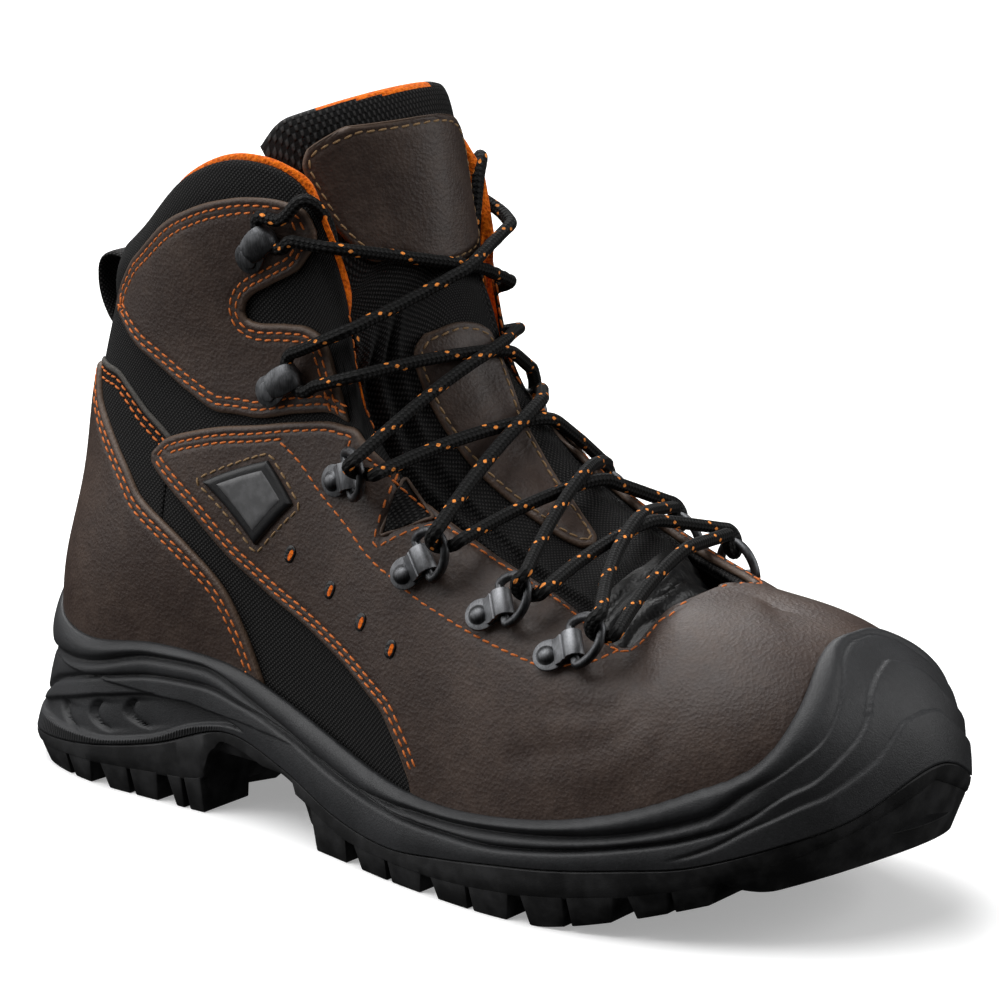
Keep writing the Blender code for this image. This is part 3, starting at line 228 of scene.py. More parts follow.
def along(table, x):
    """Smooth value of a two-column table at x, without overshoot."""
    k, v = np.array(table, float).T
    secant = np.diff(v) / np.diff(k)
    slope = np.zeros(len(k))
    slope[0], slope[-1] = secant[0], secant[-1]
    a, b = secant[:-1], secant[1:]
    same = a * b > 0
    slope[1:-1][same] = 2 * a[same] * b[same] / (a[same] + b[same])
    x = np.clip(np.asarray(x, float), k[0], k[-1])
    i = np.clip(np.searchsorted(k, x, side="right") - 1, 0, len(k) - 2)
    size = k[i + 1] - k[i]
    f = (x - k[i]) / size
    g = 1 - f
    return (v[i] * g * g * (1 + 2 * f) + v[i + 1] * f * f * (1 + 2 * g)
            + size * f * g * (slope[i] * g - slope[i + 1] * f))


def smooth_step(x, low, high):
    f = np.clip((np.asarray(x, float) - low) / (high - low), 0, 1)
    return f * f * (3 - 2 * f)


def unit(v):
    return v / np.maximum(np.linalg.norm(v, axis=-1, keepdims=True), 1e-9)


LAST_ROWS = np.array([row[1:] for row in LAST], float)
SOLE_HALF = [row[1:] for row in SOLE]
SOLE_ROWS = np.array(SOLE_HALF + SOLE_HALF[TOE - 1:0:-1], float)
ARC_STEPS = 48


def feather(t):
    """Feather point and the level outward direction at column t."""
    t = np.asarray(t, float)
    point = spline(LAST_ROWS, t)[..., :3]
    run = unit((spline(LAST_ROWS, t + 0.02) - spline(LAST_ROWS, t - 0.02))[..., :2])
    out = np.stack([run[..., 1], -run[..., 0], np.zeros_like(run[..., 0])], -1)
    return point, out


def column_curve(t):
    """Points up each column and the running length along them."""
    row = spline(LAST_ROWS, t)
    out = feather(t)[1]
    bx, by, bz, tx, ty, tz, n, belly, waist = (row[..., k, None] for k in range(9))
    turn = np.linspace(0, 1, ARC_STEPS) * np.pi / 2
    inward = 1 - np.clip(np.cos(turn), 0, 1) ** (2 / n)
    rise = np.sin(turn) ** (2 / n)
    swell = belly * np.exp(-((rise - 0.22) / 0.2) ** 2) + waist * np.exp(-((rise - 0.66) / 0.2) ** 2)
    x = bx + (tx - bx) * inward + out[..., 0, None] * swell
    y = by + (ty - by) * inward + out[..., 1, None] * swell
    z = bz + (tz - bz) * rise
    points = np.stack([x, y, z], -1)
    steps = np.linalg.norm(np.diff(points, axis=-2), axis=-1)
    length = np.concatenate([np.zeros(steps.shape[:-1] + (1,)), np.cumsum(steps, -1)], -1)
    return points, length


# The upper's outer face, looked up from a fine grid of columns and heights.
FACE_T = np.linspace(0, COLUMNS, 601)
FACE_H = np.linspace(0, 1, 161)


def face_grid():
    points, length = column_curve(FACE_T)
    grid = np.empty((len(FACE_T), len(FACE_H), 3))
    for i, (p, s) in enumerate(zip(points, length)):
        for axis in range(3):
            grid[i, :, axis] = np.interp(FACE_H * s[-1], s, p[:, axis])
    around = np.roll(grid[:-1], -1, 0) - np.roll(grid[:-1], 1, 0)
    around = np.concatenate([around, around[:1]])
    normal = unit(np.cross(around, np.gradient(grid, axis=1)))
    return grid, normal, length[:, -1], np.maximum.accumulate(points[:, :, 2], axis=1), length


FACE, FACE_NORMAL, FACE_LENGTH, COLUMN_Z, COLUMN_S = face_grid()


def sample(grid, t, h):
    """Value of a face grid between its stations."""
    x = np.mod(t, COLUMNS) / COLUMNS * (len(FACE_T) - 1)
    y = np.clip(h, 0, 1) * (len(FACE_H) - 1)
    i = np.minimum(x.astype(int), len(FACE_T) - 2)
    j = np.minimum(y.astype(int), len(FACE_H) - 2)
    f, g = (x - i)[..., None], (y - j)[..., None]
    return (grid[i, j] * (1 - f) + grid[i + 1, j] * f) * (1 - g) + (grid[i, j + 1] * (1 - f) + grid[i + 1, j + 1] * f) * g


def on_last(t, h, out=0.0):
    """Point a given distance off the upper's outer face."""
    t, h, out = np.broadcast_arrays(*(np.asarray(v, float) for v in (t, h, out)))
    return sample(FACE, t, h) + sample(FACE_NORMAL, t, h) * out[..., None]


def last_normal(t, h):
    t, h = np.broadcast_arrays(np.asarray(t, float), np.asarray(h, float))
    return unit(sample(FACE_NORMAL, t, h))


def column_length(t):
    return np.interp(np.mod(t, COLUMNS), FACE_T, FACE_LENGTH)


def length_at_height(t, z):
    """Length up the column at which it reaches height z."""
    i = np.round(np.mod(t, COLUMNS) / COLUMNS * (len(FACE_T) - 1)).astype(int)
    return np.array([np.interp(zi, COLUMN_Z[k], COLUMN_S[k]) for zi, k in zip(z, i)])


def rim(t, out, rise):
    """Point off the top edge of the upper: out across the wall, rise along the column."""
    up = unit(sample(FACE, t, np.ones_like(t)) - sample(FACE, t, np.full_like(t, 0.97)))
    return on_last(t, np.ones_like(t), out) + up * np.asarray(rise, float)[..., None]


def wall(t, s, out):
    """Point of the sole wall: s millimetres up the column from the feather, or straight down below it."""
    point, level = feather(t)
    h = np.clip(s / column_length(t), 0, 1)
    above = on_last(t, h, out)
    below = point + level * np.asarray(out, float)[..., None]
    below[..., 2] += np.minimum(s, 0)
    return np.where((s >= 0)[..., None], above, below)


def sole_lines(t):
    """Lip and seam of the sole wall as lengths up each column, negative below the feather, and its stand-out."""
    row = spline(SOLE_ROWS, t)
    base = feather(t)[0][:, 2]
    lip = length_at_height(t, row[:, 0])
    seam = np.where(row[:, 1] > base, length_at_height(t, np.maximum(row[:, 1], base)), row[:, 1] - base)
    return lip, seam, row


def lip_share(t):
    t = np.asarray(t, float)
    return sole_lines(t)[0] / column_length(t)


def spring(x):
    return SPRING_RISE * np.clip((np.asarray(x, float) - SPRING_X) / SPRING_RUN, 0, 1.2) ** SPRING_POWER


def body_bottom(x):
    """Height of the outsole's body above the ground, without its lugs."""
    tread = TREAD * (1 - smooth_step(x, *TOE_SMOOTH_X))
    arch = smooth_step(x, BREAST_X - ARCH_STEP, BREAST_X + ARCH_STEP)
    arch = arch * (1 - smooth_step(x, ARCH_END_X - ARCH_STEP, ARCH_END_X + ARCH_STEP))
    return (tread + spring(x)) * (1 - arch) + ARCH_Z * arch


def tongue_rails():
    """Outer edge, crown and inner edge of the tongue at each station."""
    t = np.array([row[0] for row in TONGUE])
    outer = on_last(t, TONGUE_EDGE_H, -TONGUE_DEPTH)
    inner = on_last(COLUMNS - t, TONGUE_EDGE_H, -TONGUE_DEPTH)
    crown = np.array([row[1:] for row in TONGUE], float)
    rails = ((outer, TONGUE_TOP_OUTER), (crown, TONGUE_TOP), (inner, TONGUE_TOP_INNER))
    return [np.concatenate([rail, [end]]) for rail, end in rails]


TONGUE_RAILS = tongue_rails()


def tongue(s, u):
    """Point of the tongue's outer face at station s and share u across."""
    s, u = np.broadcast_arrays(np.asarray(s, float), np.asarray(u, float))
    k = np.clip(np.floor(s).astype(int), 0, TONGUE_END - 1)
    f = (s - k)[..., None]
    rails = []
    for rail in TONGUE_RAILS:
        p = [rail[np.clip(k + i, 0, TONGUE_END)] for i in (-1, 0, 1, 2)]
        rails.append(0.5 * (2 * p[1] + (p[2] - p[0]) * f + (2 * p[0] - 5 * p[1] + 4 * p[2] - p[3]) * f ** 2
                            + (3 * p[1] - p[0] - 3 * p[2] + p[3]) * f ** 3))
    outer, crown, inner = rails
    chord = outer + (inner - outer) * (u[..., None] + 1) / 2
    full = np.where(u > 0, smooth_step(s, *INNER_FULL_FROM), smooth_step(s, *OUTER_FULL_FROM))
    flare = TONGUE_FLARE + (TONGUE_FULL - TONGUE_FLARE) * full
    rise = (np.clip(1 - u ** 2, 0, 1) ** flare)[..., None]
    return chord + (crown - (outer + inner) / 2) * rise


def tongue_normal(s, u):
    s, u = np.broadcast_arrays(np.asarray(s, float), np.asarray(u, float))
    sm = np.clip(s, 0.05, TONGUE_END - 0.05)
    um = np.clip(u, -0.97, 0.97)
    normal = unit(np.cross(tongue(sm, um + 0.03) - tongue(sm, um - 0.03), tongue(sm + 0.05, um) - tongue(sm - 0.05, um)))
    return np.where(normal[..., :1] < 0, -normal, normal)


def on_tongue(s, u, out=0.0):
    s, u, out = np.broadcast_arrays(*(np.asarray(v, float) for v in (s, u, out)))
    return tongue(s, u) + tongue_normal(s, u) * out[..., None]


class BootSizes(bpy.types.PropertyGroup):
    """Sizes of the boot's surfaces that a user may change."""
    leather: bpy.props.FloatProperty(
        name="Leather", description="Thickness of the leather panels", default=0.0015, unit="LENGTH")
    stitch_pitch: bpy.props.FloatProperty(
        name="Stitch pitch", description="Distance from one stitch to the next", default=0.0033, unit="LENGTH")
    thread: bpy.props.FloatProperty(
        name="Thread", description="Thickness of the sewing thread", default=0.00068, unit="LENGTH")
    lace: bpy.props.FloatProperty(
        name="Lace", description="Thickness of the lace", default=0.0039, unit="LENGTH")
    weave: bpy.props.FloatProperty(
        name="Weave", description="Width of one thread of the woven textile", default=0.0014, unit="LENGTH")


def colour(name, description, value):
    return bpy.props.FloatVectorProperty(
        name=name, description=description, default=value, size=3, min=0.0, max=1.0, subtype="COLOR")


class BootColours(bpy.types.PropertyGroup):
    """Colours of the boot's finishes that a user may change."""
    leather: colour("Leather", "Oiled brown leather", (0.036, 0.0202, 0.0148))
    leather_deep: colour("Leather pores", "Pores and deep grain of the leather", (0.014, 0.0095, 0.0075))
    leather_light: colour("Leather, worn", "Lighter patches of the leather", (0.067, 0.042, 0.0308))
    leather_cut: colour("Leather edge", "Raw cut edges of the leather", (0.105, 0.066, 0.044))
    textile: colour("Textile", "Woven textile", (0.045, 0.043, 0.042))
    lining: colour("Lining", "Pile of the lining", (0.93, 0.19, 0.006))
    thread: colour("Thread", "Main sewing thread", (0.78, 0.20, 0.035))
    tan_thread: colour("Thin thread", "Thread on the tongue leather and badge", (0.34, 0.21, 0.10))
    midsole: colour("Midsole", "Foamed midsole", (0.021, 0.0215, 0.023))
    rubber: colour("Outsole", "Rubber of the outsole", (0.0085, 0.0085, 0.009))
    metal: colour("Fittings", "Metal of the lace fittings", (0.15, 0.153, 0.16))
    lace: colour("Lace", "Ground of the lace", (0.014, 0.014, 0.014))
    fleck: colour("Lace fleck", "Bright strand of the lace", (0.92, 0.30, 0.05))
    strip_edge: colour("Edge strip", "Raw edge above the counter", (0.085, 0.078, 0.07))
    insole: colour("Insole", "Cover of the insole", (0.03, 0.03, 0.03))
    badge: colour("Badge", "Moulded badge", (0.012, 0.012, 0.013))
    floor: colour("Floor", "Studio floor", (0.86, 0.86, 0.86))


def sizes():
    return bpy.context.scene.boot_sizes


def shade(name):
    return tuple(getattr(bpy.context.scene.boot_colours, name)) + (1.0,)


def millimetres(name):
    return getattr(sizes(), name) / MM


class Amount:
    """A value in a material that takes part in Python expressions, one Math node a step."""

    def __init__(self, finish, socket):
        self.finish = finish
        self.socket = socket

    def step(self, operation, *values):
        sockets = {k: v for k, v in enumerate(values)}
        return self.finish.amount("ShaderNodeMath", {"operation": operation}, sockets)

    def __add__(self, other):
        return self.step("ADD", self, other)

    def __radd__(self, other):
        return self.step("ADD", other, self)

    def __sub__(self, other):
        return self.step("SUBTRACT", self, other)

    def __rsub__(self, other):
        return self.step("SUBTRACT", other, self)

    def __mul__(self, other):
        return self.step("MULTIPLY", self, other)

    def __rmul__(self, other):
        return self.step("MULTIPLY", other, self)

    def __truediv__(self, other):
        return self.step("DIVIDE", self, other)

    def __pow__(self, other):
        return self.step("POWER", self, other)

    def sine(self):
        return self.step("SINE", self)

    def size(self):
        return self.step("ABSOLUTE", self)

    def fraction(self):
        return self.step("FRACT", self)

    def over(self, limit):
        return self.step("GREATER_THAN", self, limit)

    def between(self, low, high):
        """Smooth 0 to 1 as the value goes from low to high."""
        return self.finish.amount("ShaderNodeMapRange", {"interpolation_type": "SMOOTHSTEP"},
                                  {"Value": self, "From Min": low, "From Max": high})


class Finish:
    """One named material with its Principled shader."""

    def __init__(self, name, **constants):
        self.material = bpy.data.materials.new(name)
        self.material.use_nodes = True
        self.tree = self.material.node_tree
        self.shader = self.tree.nodes["Principled BSDF"]
        for key, value in constants.items():
            self.shader.inputs[key.replace("_", " ").title().replace("Ior", "IOR")].default_value = value

    def node(self, kind, settings=None, sockets=None):
        """Add a node, its settings first, then the values or links of its sockets."""
        node = self.tree.nodes.new(kind)
        for key, value in (settings or {}).items():
            if key == "stops":
                while len(node.color_ramp.elements) < len(value):
                    node.color_ramp.elements.new(0.5)
                for stop, (place, tint) in zip(node.color_ramp.elements, value):
                    stop.position = place
                    stop.color = tint
            else:
                setattr(node, key, value)
        for key, value in (sockets or {}).items():
            self.feed(node.inputs[key], value)
        return node

    def feed(self, socket, value):
        if isinstance(value, Amount):
            value = value.socket
        if isinstance(value, bpy.types.NodeSocket):
            self.tree.links.new(value, socket)
        else:
            socket.default_value = value

    def amount(self, kind, settings=None, sockets=None, output=0):
        return Amount(self, self.node(kind, settings, sockets).outputs[output])

    def place(self):
        return self.node("ShaderNodeTexCoord").outputs["Object"]

    def cloth(self):
        """The piece's own two coordinates, in millimetres."""
        parts = self.node("ShaderNodeSeparateXYZ", None, {0: self.node("ShaderNodeUVMap", {"uv_map": UV_NAME}).outputs[0]})
        return Amount(self, parts.outputs[0]) * UV_SCALE, Amount(self, parts.outputs[1]) * UV_SCALE

    def noise(self, size, detail=3.0, rough=0.55):
        """Cloudy value with features of the given size in millimetres."""
        return self.amount("ShaderNodeTexNoise", None, {
            "Vector": self.place(), "Scale": 1.0 / (size * MM), "Detail": detail, "Roughness": rough})

    def cells(self, size, feature="F1"):
        """Distance within small cells of the given size in millimetres."""
        return self.amount("ShaderNodeTexVoronoi", {"feature": feature}, {
            "Vector": self.place(), "Scale": 1.0 / (size * MM)})

    def edge(self):
        return self.amount("ShaderNodeAttribute", {"attribute_name": EDGE_NAME}, None, 2)

    def mix(self, factor, a, b):
        return self.node("ShaderNodeMix", {"data_type": "RGBA"}, {0: factor, 6: a, 7: b}).outputs[2]

    def paint(self, **channels):
        for key, value in channels.items():
            self.feed(self.shader.inputs[key.replace("_", " ").title()], value)

    def relief(self, height, depth, strength=1.0):
        """Bump of the given depth in millimetres."""
        bump = self.node("ShaderNodeBump", None, {"Height": height, "Strength": strength, "Distance": depth * MM})
        self.feed(self.shader.inputs["Normal"], bump.outputs[0])
        return self


UV_NAME = "cloth"
UV_SCALE = 100.0
# Point attribute that colours edges: wear of the cut edges, and on the midsole the serration share that also paints
# shade.
EDGE_NAME = "edge"
FINISHES = {}


def finish(name):
    """The named material, made at its first use."""
    if name not in FINISHES:
        FINISHES[name] = FINISH_MAKERS[name](name)
    return FINISHES[name]


def leather_finish(name):
    f = Finish(name, coat_weight=0.05, coat_roughness=0.3, specular_ior_level=0.45)
    cloud = f.noise(26, 4.0, 0.62)
    fine = f.noise(4.0, 4.0, 0.65)
    worn = (cloud * 0.6 + fine * 0.4).between(0.36, 0.72)
    tint = f.mix(worn, shade("leather"), shade("leather_light"))
    speck = f.noise(0.8, 3.0, 0.75)
    tint = f.mix(speck.between(0.5, 0.68) * 0.4, tint, shade("leather_deep"))
    tint = f.mix(f.noise(1.6, 2.0, 0.7).between(0.6, 0.72) * 0.15, tint, shade("leather_cut"))
    tint = f.mix(f.edge(), tint, shade("leather_cut"))
    grain = f.cells(1.0) * 0.7 + f.noise(0.45, 3.0, 0.7) * 0.5 + f.noise(2.2, 3.0, 0.65)
    f.paint(base_color=tint, roughness=0.36 + 0.16 * fine + 0.2 * speck)
    return f.relief(grain, 0.24, 0.65).material


def black_leather_finish(name):
    f = Finish(name, specular_ior_level=0.5)
    tint = f.mix(f.noise(7, 3.0).between(0.35, 0.7), (0.0045, 0.0045, 0.005, 1), (0.014, 0.0135, 0.013, 1))
    grain = f.cells(1.0) * 0.6 + f.noise(2.4, 3.0, 0.65)
    f.paint(base_color=tint, roughness=0.32 + 0.2 * f.noise(3.0))
    return f.relief(grain, 0.28, 0.6).material


def strip_finish(name):
    f = Finish(name, specular_ior_level=0.3)
    fibre = f.noise(0.6, 3.0, 0.7)
    dark = tuple(c * 0.45 for c in shade("strip_edge")[:3]) + (1.0,)
    f.paint(base_color=f.mix(fibre.between(0.35, 0.65), dark, shade("strip_edge")), roughness=0.7 + 0.15 * fibre)
    return f.relief(fibre, 0.2, 0.6).material


def woven_finish(name):
    f = Finish(name, specular_ior_level=0.25)
    u, v = f.cloth()
    turn = 2 * math.pi / millimetres("weave")
    across = (u * turn).sine()
    down = (v * turn).sine()
    over = across * down
    rib = over.between(-0.15, 0.75)
    strand = f.noise(0.35, 2.0, 0.6)
    # Threads lighter and the gaps between them near black: the weave's own pattern, with painted shade in the gaps.
    tint = f.mix(rib * (0.45 + 0.55 * strand), (0.0022, 0.0022, 0.0025, 1), shade("textile"))
    f.paint(base_color=tint, roughness=0.66 + 0.15 * strand)
    return f.relief(rib + strand * 0.25, 0.6, 0.9).material


def lining_finish(name):
    f = Finish(name, sheen_weight=0.1, sheen_roughness=0.5, specular_ior_level=0.1)
    pile = f.noise(0.7, 3.0, 0.7)
    loop = f.cells(1.1)
    tint = f.mix((pile * 0.6 + loop * 0.5).between(0.25, 0.75), (0.5, 0.075, 0.003, 1), shade("lining"))
    f.paint(base_color=tint, roughness=0.8 + 0.15 * pile)
    return f.relief(pile + loop, 0.6, 0.8).material


def thread_finish(name):
    f = Finish(name, specular_ior_level=0.3)
    twist = f.noise(0.3, 2.0, 0.6)
    base = shade(name)
    dark = tuple(c * 0.5 for c in base[:3]) + (1.0,)
    f.paint(base_color=f.mix(twist.between(0.3, 0.65), dark, base), roughness=0.55 + 0.2 * twist)
    return f.relief(twist, 0.15, 0.6).material


SERRATION = 1.05


def midsole_finish(name):
    f = Finish(name, specular_ior_level=0.4)
    cloud = f.noise(18, 3.0)
    skin = f.noise(0.4, 3.0, 0.7)
    dust = f.noise(1.3, 2.0, 0.7)
    lighter = tuple(min(1.0, c * 1.6) for c in shade("midsole")[:3]) + (1.0,)
    tint = f.mix((cloud * 0.6 + dust * 0.4).between(0.35, 0.7), shade("midsole"), lighter)
    run = f.cloth()[0]
    rib = (run * (2 * math.pi / SERRATION)).sine() * f.edge()
    # Painted shade: the serrated ledge under the heel recess is darkened, most in the serration's grooves.
    tint = f.mix(f.edge() * 0.7 - rib * 0.6, tint, (0.004, 0.004, 0.004, 1))
    f.paint(base_color=tint, roughness=0.46 + 0.14 * skin)
    return f.relief(skin * 0.8 + f.cells(0.6) * 0.4 + rib * 2.0, 0.16, 0.6).material


def rubber_finish(name):
    f = Finish(name, specular_ior_level=0.35)
    skin = f.noise(0.5, 3.0, 0.7)
    tint = f.mix(f.noise(8, 3.0).between(0.35, 0.75), shade("rubber"), (0.026, 0.026, 0.027, 1))
    f.paint(base_color=tint, roughness=0.55 + 0.2 * skin)
    return f.relief(skin, 0.12, 0.5).material


def metal_finish(name):
    f = Finish(name, metallic=1.0)
    brushed = f.amount("ShaderNodeTexNoise", None, {
        "Vector": f.node("ShaderNodeMapping", None, {
            "Vector": f.place(), "Scale": (2500.0, 2500.0, 300.0)}).outputs[0], "Scale": 1.0, "Detail": 2.0})
    cloud = f.noise(3.0, 3.0)
    dark = tuple(c * METAL_DARKEN[name] for c in shade("metal")[:3]) + (1.0,)
    light = tuple(min(1.0, c * METAL_LIGHTEN[name]) for c in shade("metal")[:3]) + (1.0,)
    f.paint(base_color=f.mix((brushed * 0.5 + cloud * 0.5).between(0.35, 0.65), dark, light),
            roughness=0.36 + 0.2 * cloud + 0.1 * brushed)
    return f.relief(brushed, 0.02, 0.4).material


METAL_DARKEN = {"clip_metal": 0.7, "strap_metal": 1.3, "ring_metal": 0.6}
METAL_LIGHTEN = {"clip_metal": 1.3, "strap_metal": 1.9, "ring_metal": 1.2}


LACE_TURNS = 8
LACE_BRAID = 3.0
FLECK_TURN = 19.0
FLECK_STEP = 2.8
FLECK_ROUND = 1.9


def lace_finish(name):
    """Round braid of two sets of strands, with one bright strand that winds round and dips under the others."""
    f = Finish(name, specular_ior_level=0.25)
    u, v = f.cloth()
    across = v * (2 * math.pi * LACE_TURNS / 2)
    left = (u * (2 * math.pi / LACE_BRAID) + across).sine()
    right = (u * (2 * math.pi / LACE_BRAID) - across).sine()
    rib = (left * right).between(-0.4, 0.7)
    within = (u / FLECK_STEP).fraction()
    winding = ((v - (u - within * FLECK_STEP) / FLECK_TURN).fraction() - 0.5).size()
    dash = (within - 0.5).size()
    fleck = (1 - (winding * FLECK_ROUND + dash * dash).between(0.07, 0.1))
    # Braid ridges in the lace colour and the furrows between strands near black: the braid's pattern, with painted
    # shade in the furrows.
    ground = f.mix(rib, (0.002, 0.002, 0.002, 1), shade("lace"))
    tint = f.mix(fleck, ground, shade("fleck"))
    f.paint(base_color=tint, roughness=0.68 + 0.15 * f.noise(0.4))
    return f.relief(rib, 0.5, 0.8).material


def insole_finish(name):
    f = Finish(name, specular_ior_level=0.2)
    nap = f.noise(0.8, 3.0, 0.7)
    tint = f.mix((nap * 0.6 + f.noise(14) * 0.4).between(0.35, 0.65), shade("insole"), (0.06, 0.058, 0.055, 1))
    f.paint(base_color=tint, roughness=0.85 + 0.1 * nap)
    return f.relief(nap + f.cells(1.6), 0.3, 0.6).material


# The plain raised field's share of the badge.
BADGE_FIELD = 0.72
BADGE_TINTS = {"badge": None, "badge_field": (0.11, 0.11, 0.113, 1)}


def badge_finish(name):
    f = Finish(name, specular_ior_level=0.5)
    base = BADGE_TINTS[name] or shade("badge")
    skin = f.noise(0.4, 3.0, 0.6)
    dark = tuple(c * 0.7 for c in base[:3]) + (1.0,)
    f.paint(base_color=f.mix(f.noise(2.5).between(0.35, 0.7), dark, base), roughness=0.3 + 0.18 * skin)
    return f.relief(skin, 0.05, 0.5).material


def floor_finish(name):
    f = Finish(name, specular_ior_level=0.1, emission_strength=0.3)
    grain = f.noise(2.0, 2.0)
    f.paint(base_color=f.mix(grain * 0.3, shade("floor"), (0.9, 0.9, 0.9, 1)), roughness=0.8 + 0.1 * grain)
    return f.material


FINISH_MAKERS = {
    "brown_leather": leather_finish, "black_leather": black_leather_finish, "raw_strip": strip_finish, "woven_textile": woven_finish,
    "pile_lining": lining_finish, "thread": thread_finish, "tan_thread": thread_finish, "foam": midsole_finish,
    "tread_rubber": rubber_finish, "clip_metal": metal_finish, "strap_metal": metal_finish,
    "ring_metal": metal_finish, "braid": lace_finish, "sock_cover": insole_finish, "badge": badge_finish,
    "badge_field": badge_finish, "studio_floor": floor_finish,
}


def world(points):
    return (np.asarray(points, float) - ORIGIN) * MM


def grid_faces(rows, columns, closed=False, first=0):
    """Four-sided faces of a grid stored row by row."""
    r = np.arange(rows - 1)[:, None]
    c = np.arange(columns if closed else columns - 1)[None, :]
    n = (c + 1) % columns
    faces = np.stack(np.broadcast_arrays(r * columns + c, r * columns + n, (r + 1) * columns + n, (r + 1) * columns + c), -1)
    return faces.reshape(-1, 4) + first


def weld(points, faces):
    """Merge points that lie together and drop the faces that collapse; returns the kept points and faces."""
    key = np.round(points * 2000).astype(np.int64)
    first, back = np.unique(key, axis=0, return_index=True, return_inverse=True)[1:]
    kept = []
    for face in back.ravel()[np.asarray(faces)].tolist():
        ring = [i for k, i in enumerate(face) if i != face[k - 1]]
        if len(set(ring)) > 2 and len(set(ring)) == len(ring):
            kept.append(ring)
    return first, kept


def rim_edges(faces):
    """Edges that only one face uses, each in that face's direction."""
    edges = {(f[k - 1], f[k]) for f in faces for k in range(len(f))}
    return [(a, b) for a, b in edges if (b, a) not in edges]


def deselect():
    if bpy.context.object and bpy.context.object.mode != "OBJECT":
        bpy.ops.object.mode_set(mode="OBJECT")
    bpy.ops.object.select_all(action="DESELECT")


def choose(obj):
    deselect()
    bpy.context.view_layer.objects.active = obj
    obj.select_set(True)


def apply_modifier(obj, kind, **settings):
    modifier = obj.modifiers.new(kind.lower(), kind)
    for key, value in settings.items():
        setattr(modifier, key, value)
    choose(obj)
    bpy.ops.object.modifier_apply(modifier=modifier.name)


def face_outward(obj, merge=0.0):
    """Merge doubles and turn all faces outward, as by hand in edit mode."""
    choose(obj)
    bpy.ops.object.mode_set(mode="EDIT")
    bpy.ops.mesh.select_all(action="SELECT")
    if merge:
        bpy.ops.mesh.remove_doubles(threshold=merge)
    bpy.ops.mesh.normals_make_consistent(inside=False)
    bpy.ops.object.mode_set(mode="OBJECT")


def mesh_piece(name, points, faces, finishes, uv=None, edge=None, kinds=None, outward=True):
    """A smooth mesh object from points in millimetres, with its own coordinates and an edge attribute: edge wear on
    leather, the serration share with its painted shade on the midsole.
    """
    mesh = bpy.data.meshes.new(name)
    mesh.from_pydata(world(points).tolist(), [], faces if isinstance(faces, list) else faces.tolist())
    obj = bpy.data.objects.new(name, mesh)
    bpy.context.scene.collection.objects.link(obj)
    for key in finishes:
        mesh.materials.append(finish(key))
    if kinds is not None:
        mesh.polygons.foreach_set("material_index", np.asarray(kinds, np.int32))
    mesh.polygons.foreach_set("use_smooth", np.ones(len(mesh.polygons), bool))
    if uv is not None:
        layer = mesh.uv_layers.new(name=UV_NAME)
        corner = np.empty(len(mesh.loops), np.int32)
        mesh.loops.foreach_get("vertex_index", corner)
        layer.data.foreach_set("uv", (np.asarray(uv, float)[corner] / UV_SCALE).ravel())
    if edge is not None:
        mesh.attributes.new(EDGE_NAME, "FLOAT", "POINT").data.foreach_set("value", np.asarray(edge, float))
    mesh.update()
    if outward:
        face_outward(obj)
    return obj


def settle(obj, slot, *nodes):
    """Hang a finished piece on the frame."""
    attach(obj, BODY)
    if nodes:
        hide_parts(*nodes)
    return obj


def joined(name, objects):
    """One object from several, under the given name."""
    deselect()
    for obj in objects:
        obj.select_set(True)
    bpy.context.view_layer.objects.active = objects[0]
    if len(objects) > 1:
        bpy.ops.object.join()
    objects[0].name = name
    objects[0].data.name = name
    return objects[0]


def distance_to(points, line):
    tree = KDTree(len(line))
    for i, p in enumerate(line):
        tree.insert(p, i)
    tree.balance()
    return np.array([tree.find(p)[2] for p in points])


# Leather sheets: how the rows crowd to the edges, the round of a cut edge and the groove a seam presses.
ROW_CROWD = 0.6
CUT_ROUND = 1.7
GROOVE_DEPTH = 0.34
GROOVE_HALF = 0.7
EDGE_WEAR = 1.25


def crowded(n):
    r = np.linspace(0, 1, n)
    return r - ROW_CROWD * np.sin(2 * np.pi * r) / (2 * np.pi)


def band(surface, a, low, high, rows, swap=False):
    """Points and normals of a sheet whose rows run between two outlines."""
    b = low[:, None] + (high - low)[:, None] * crowded(rows)
    a = np.broadcast_to(a[:, None], b.shape)
    points = surface(a, b)
    return points, unit(surface(a, b, 1.0) - points)


def merged_sheet(grids):
    """One welded sheet from several grids of points and normals."""
    points, normals, faces, count = [], [], [], 0
    for p, n in grids:
        rows, columns = p.shape[:2]
        points.append(p.reshape(-1, 3))
        normals.append(n.reshape(-1, 3))
        faces.append(grid_faces(rows, columns, False, count))
        count += rows * columns
    points, normals = np.concatenate(points), np.concatenate(normals)
    first, kept = weld(points, np.concatenate(faces))
    return points[first], normals[first], kept


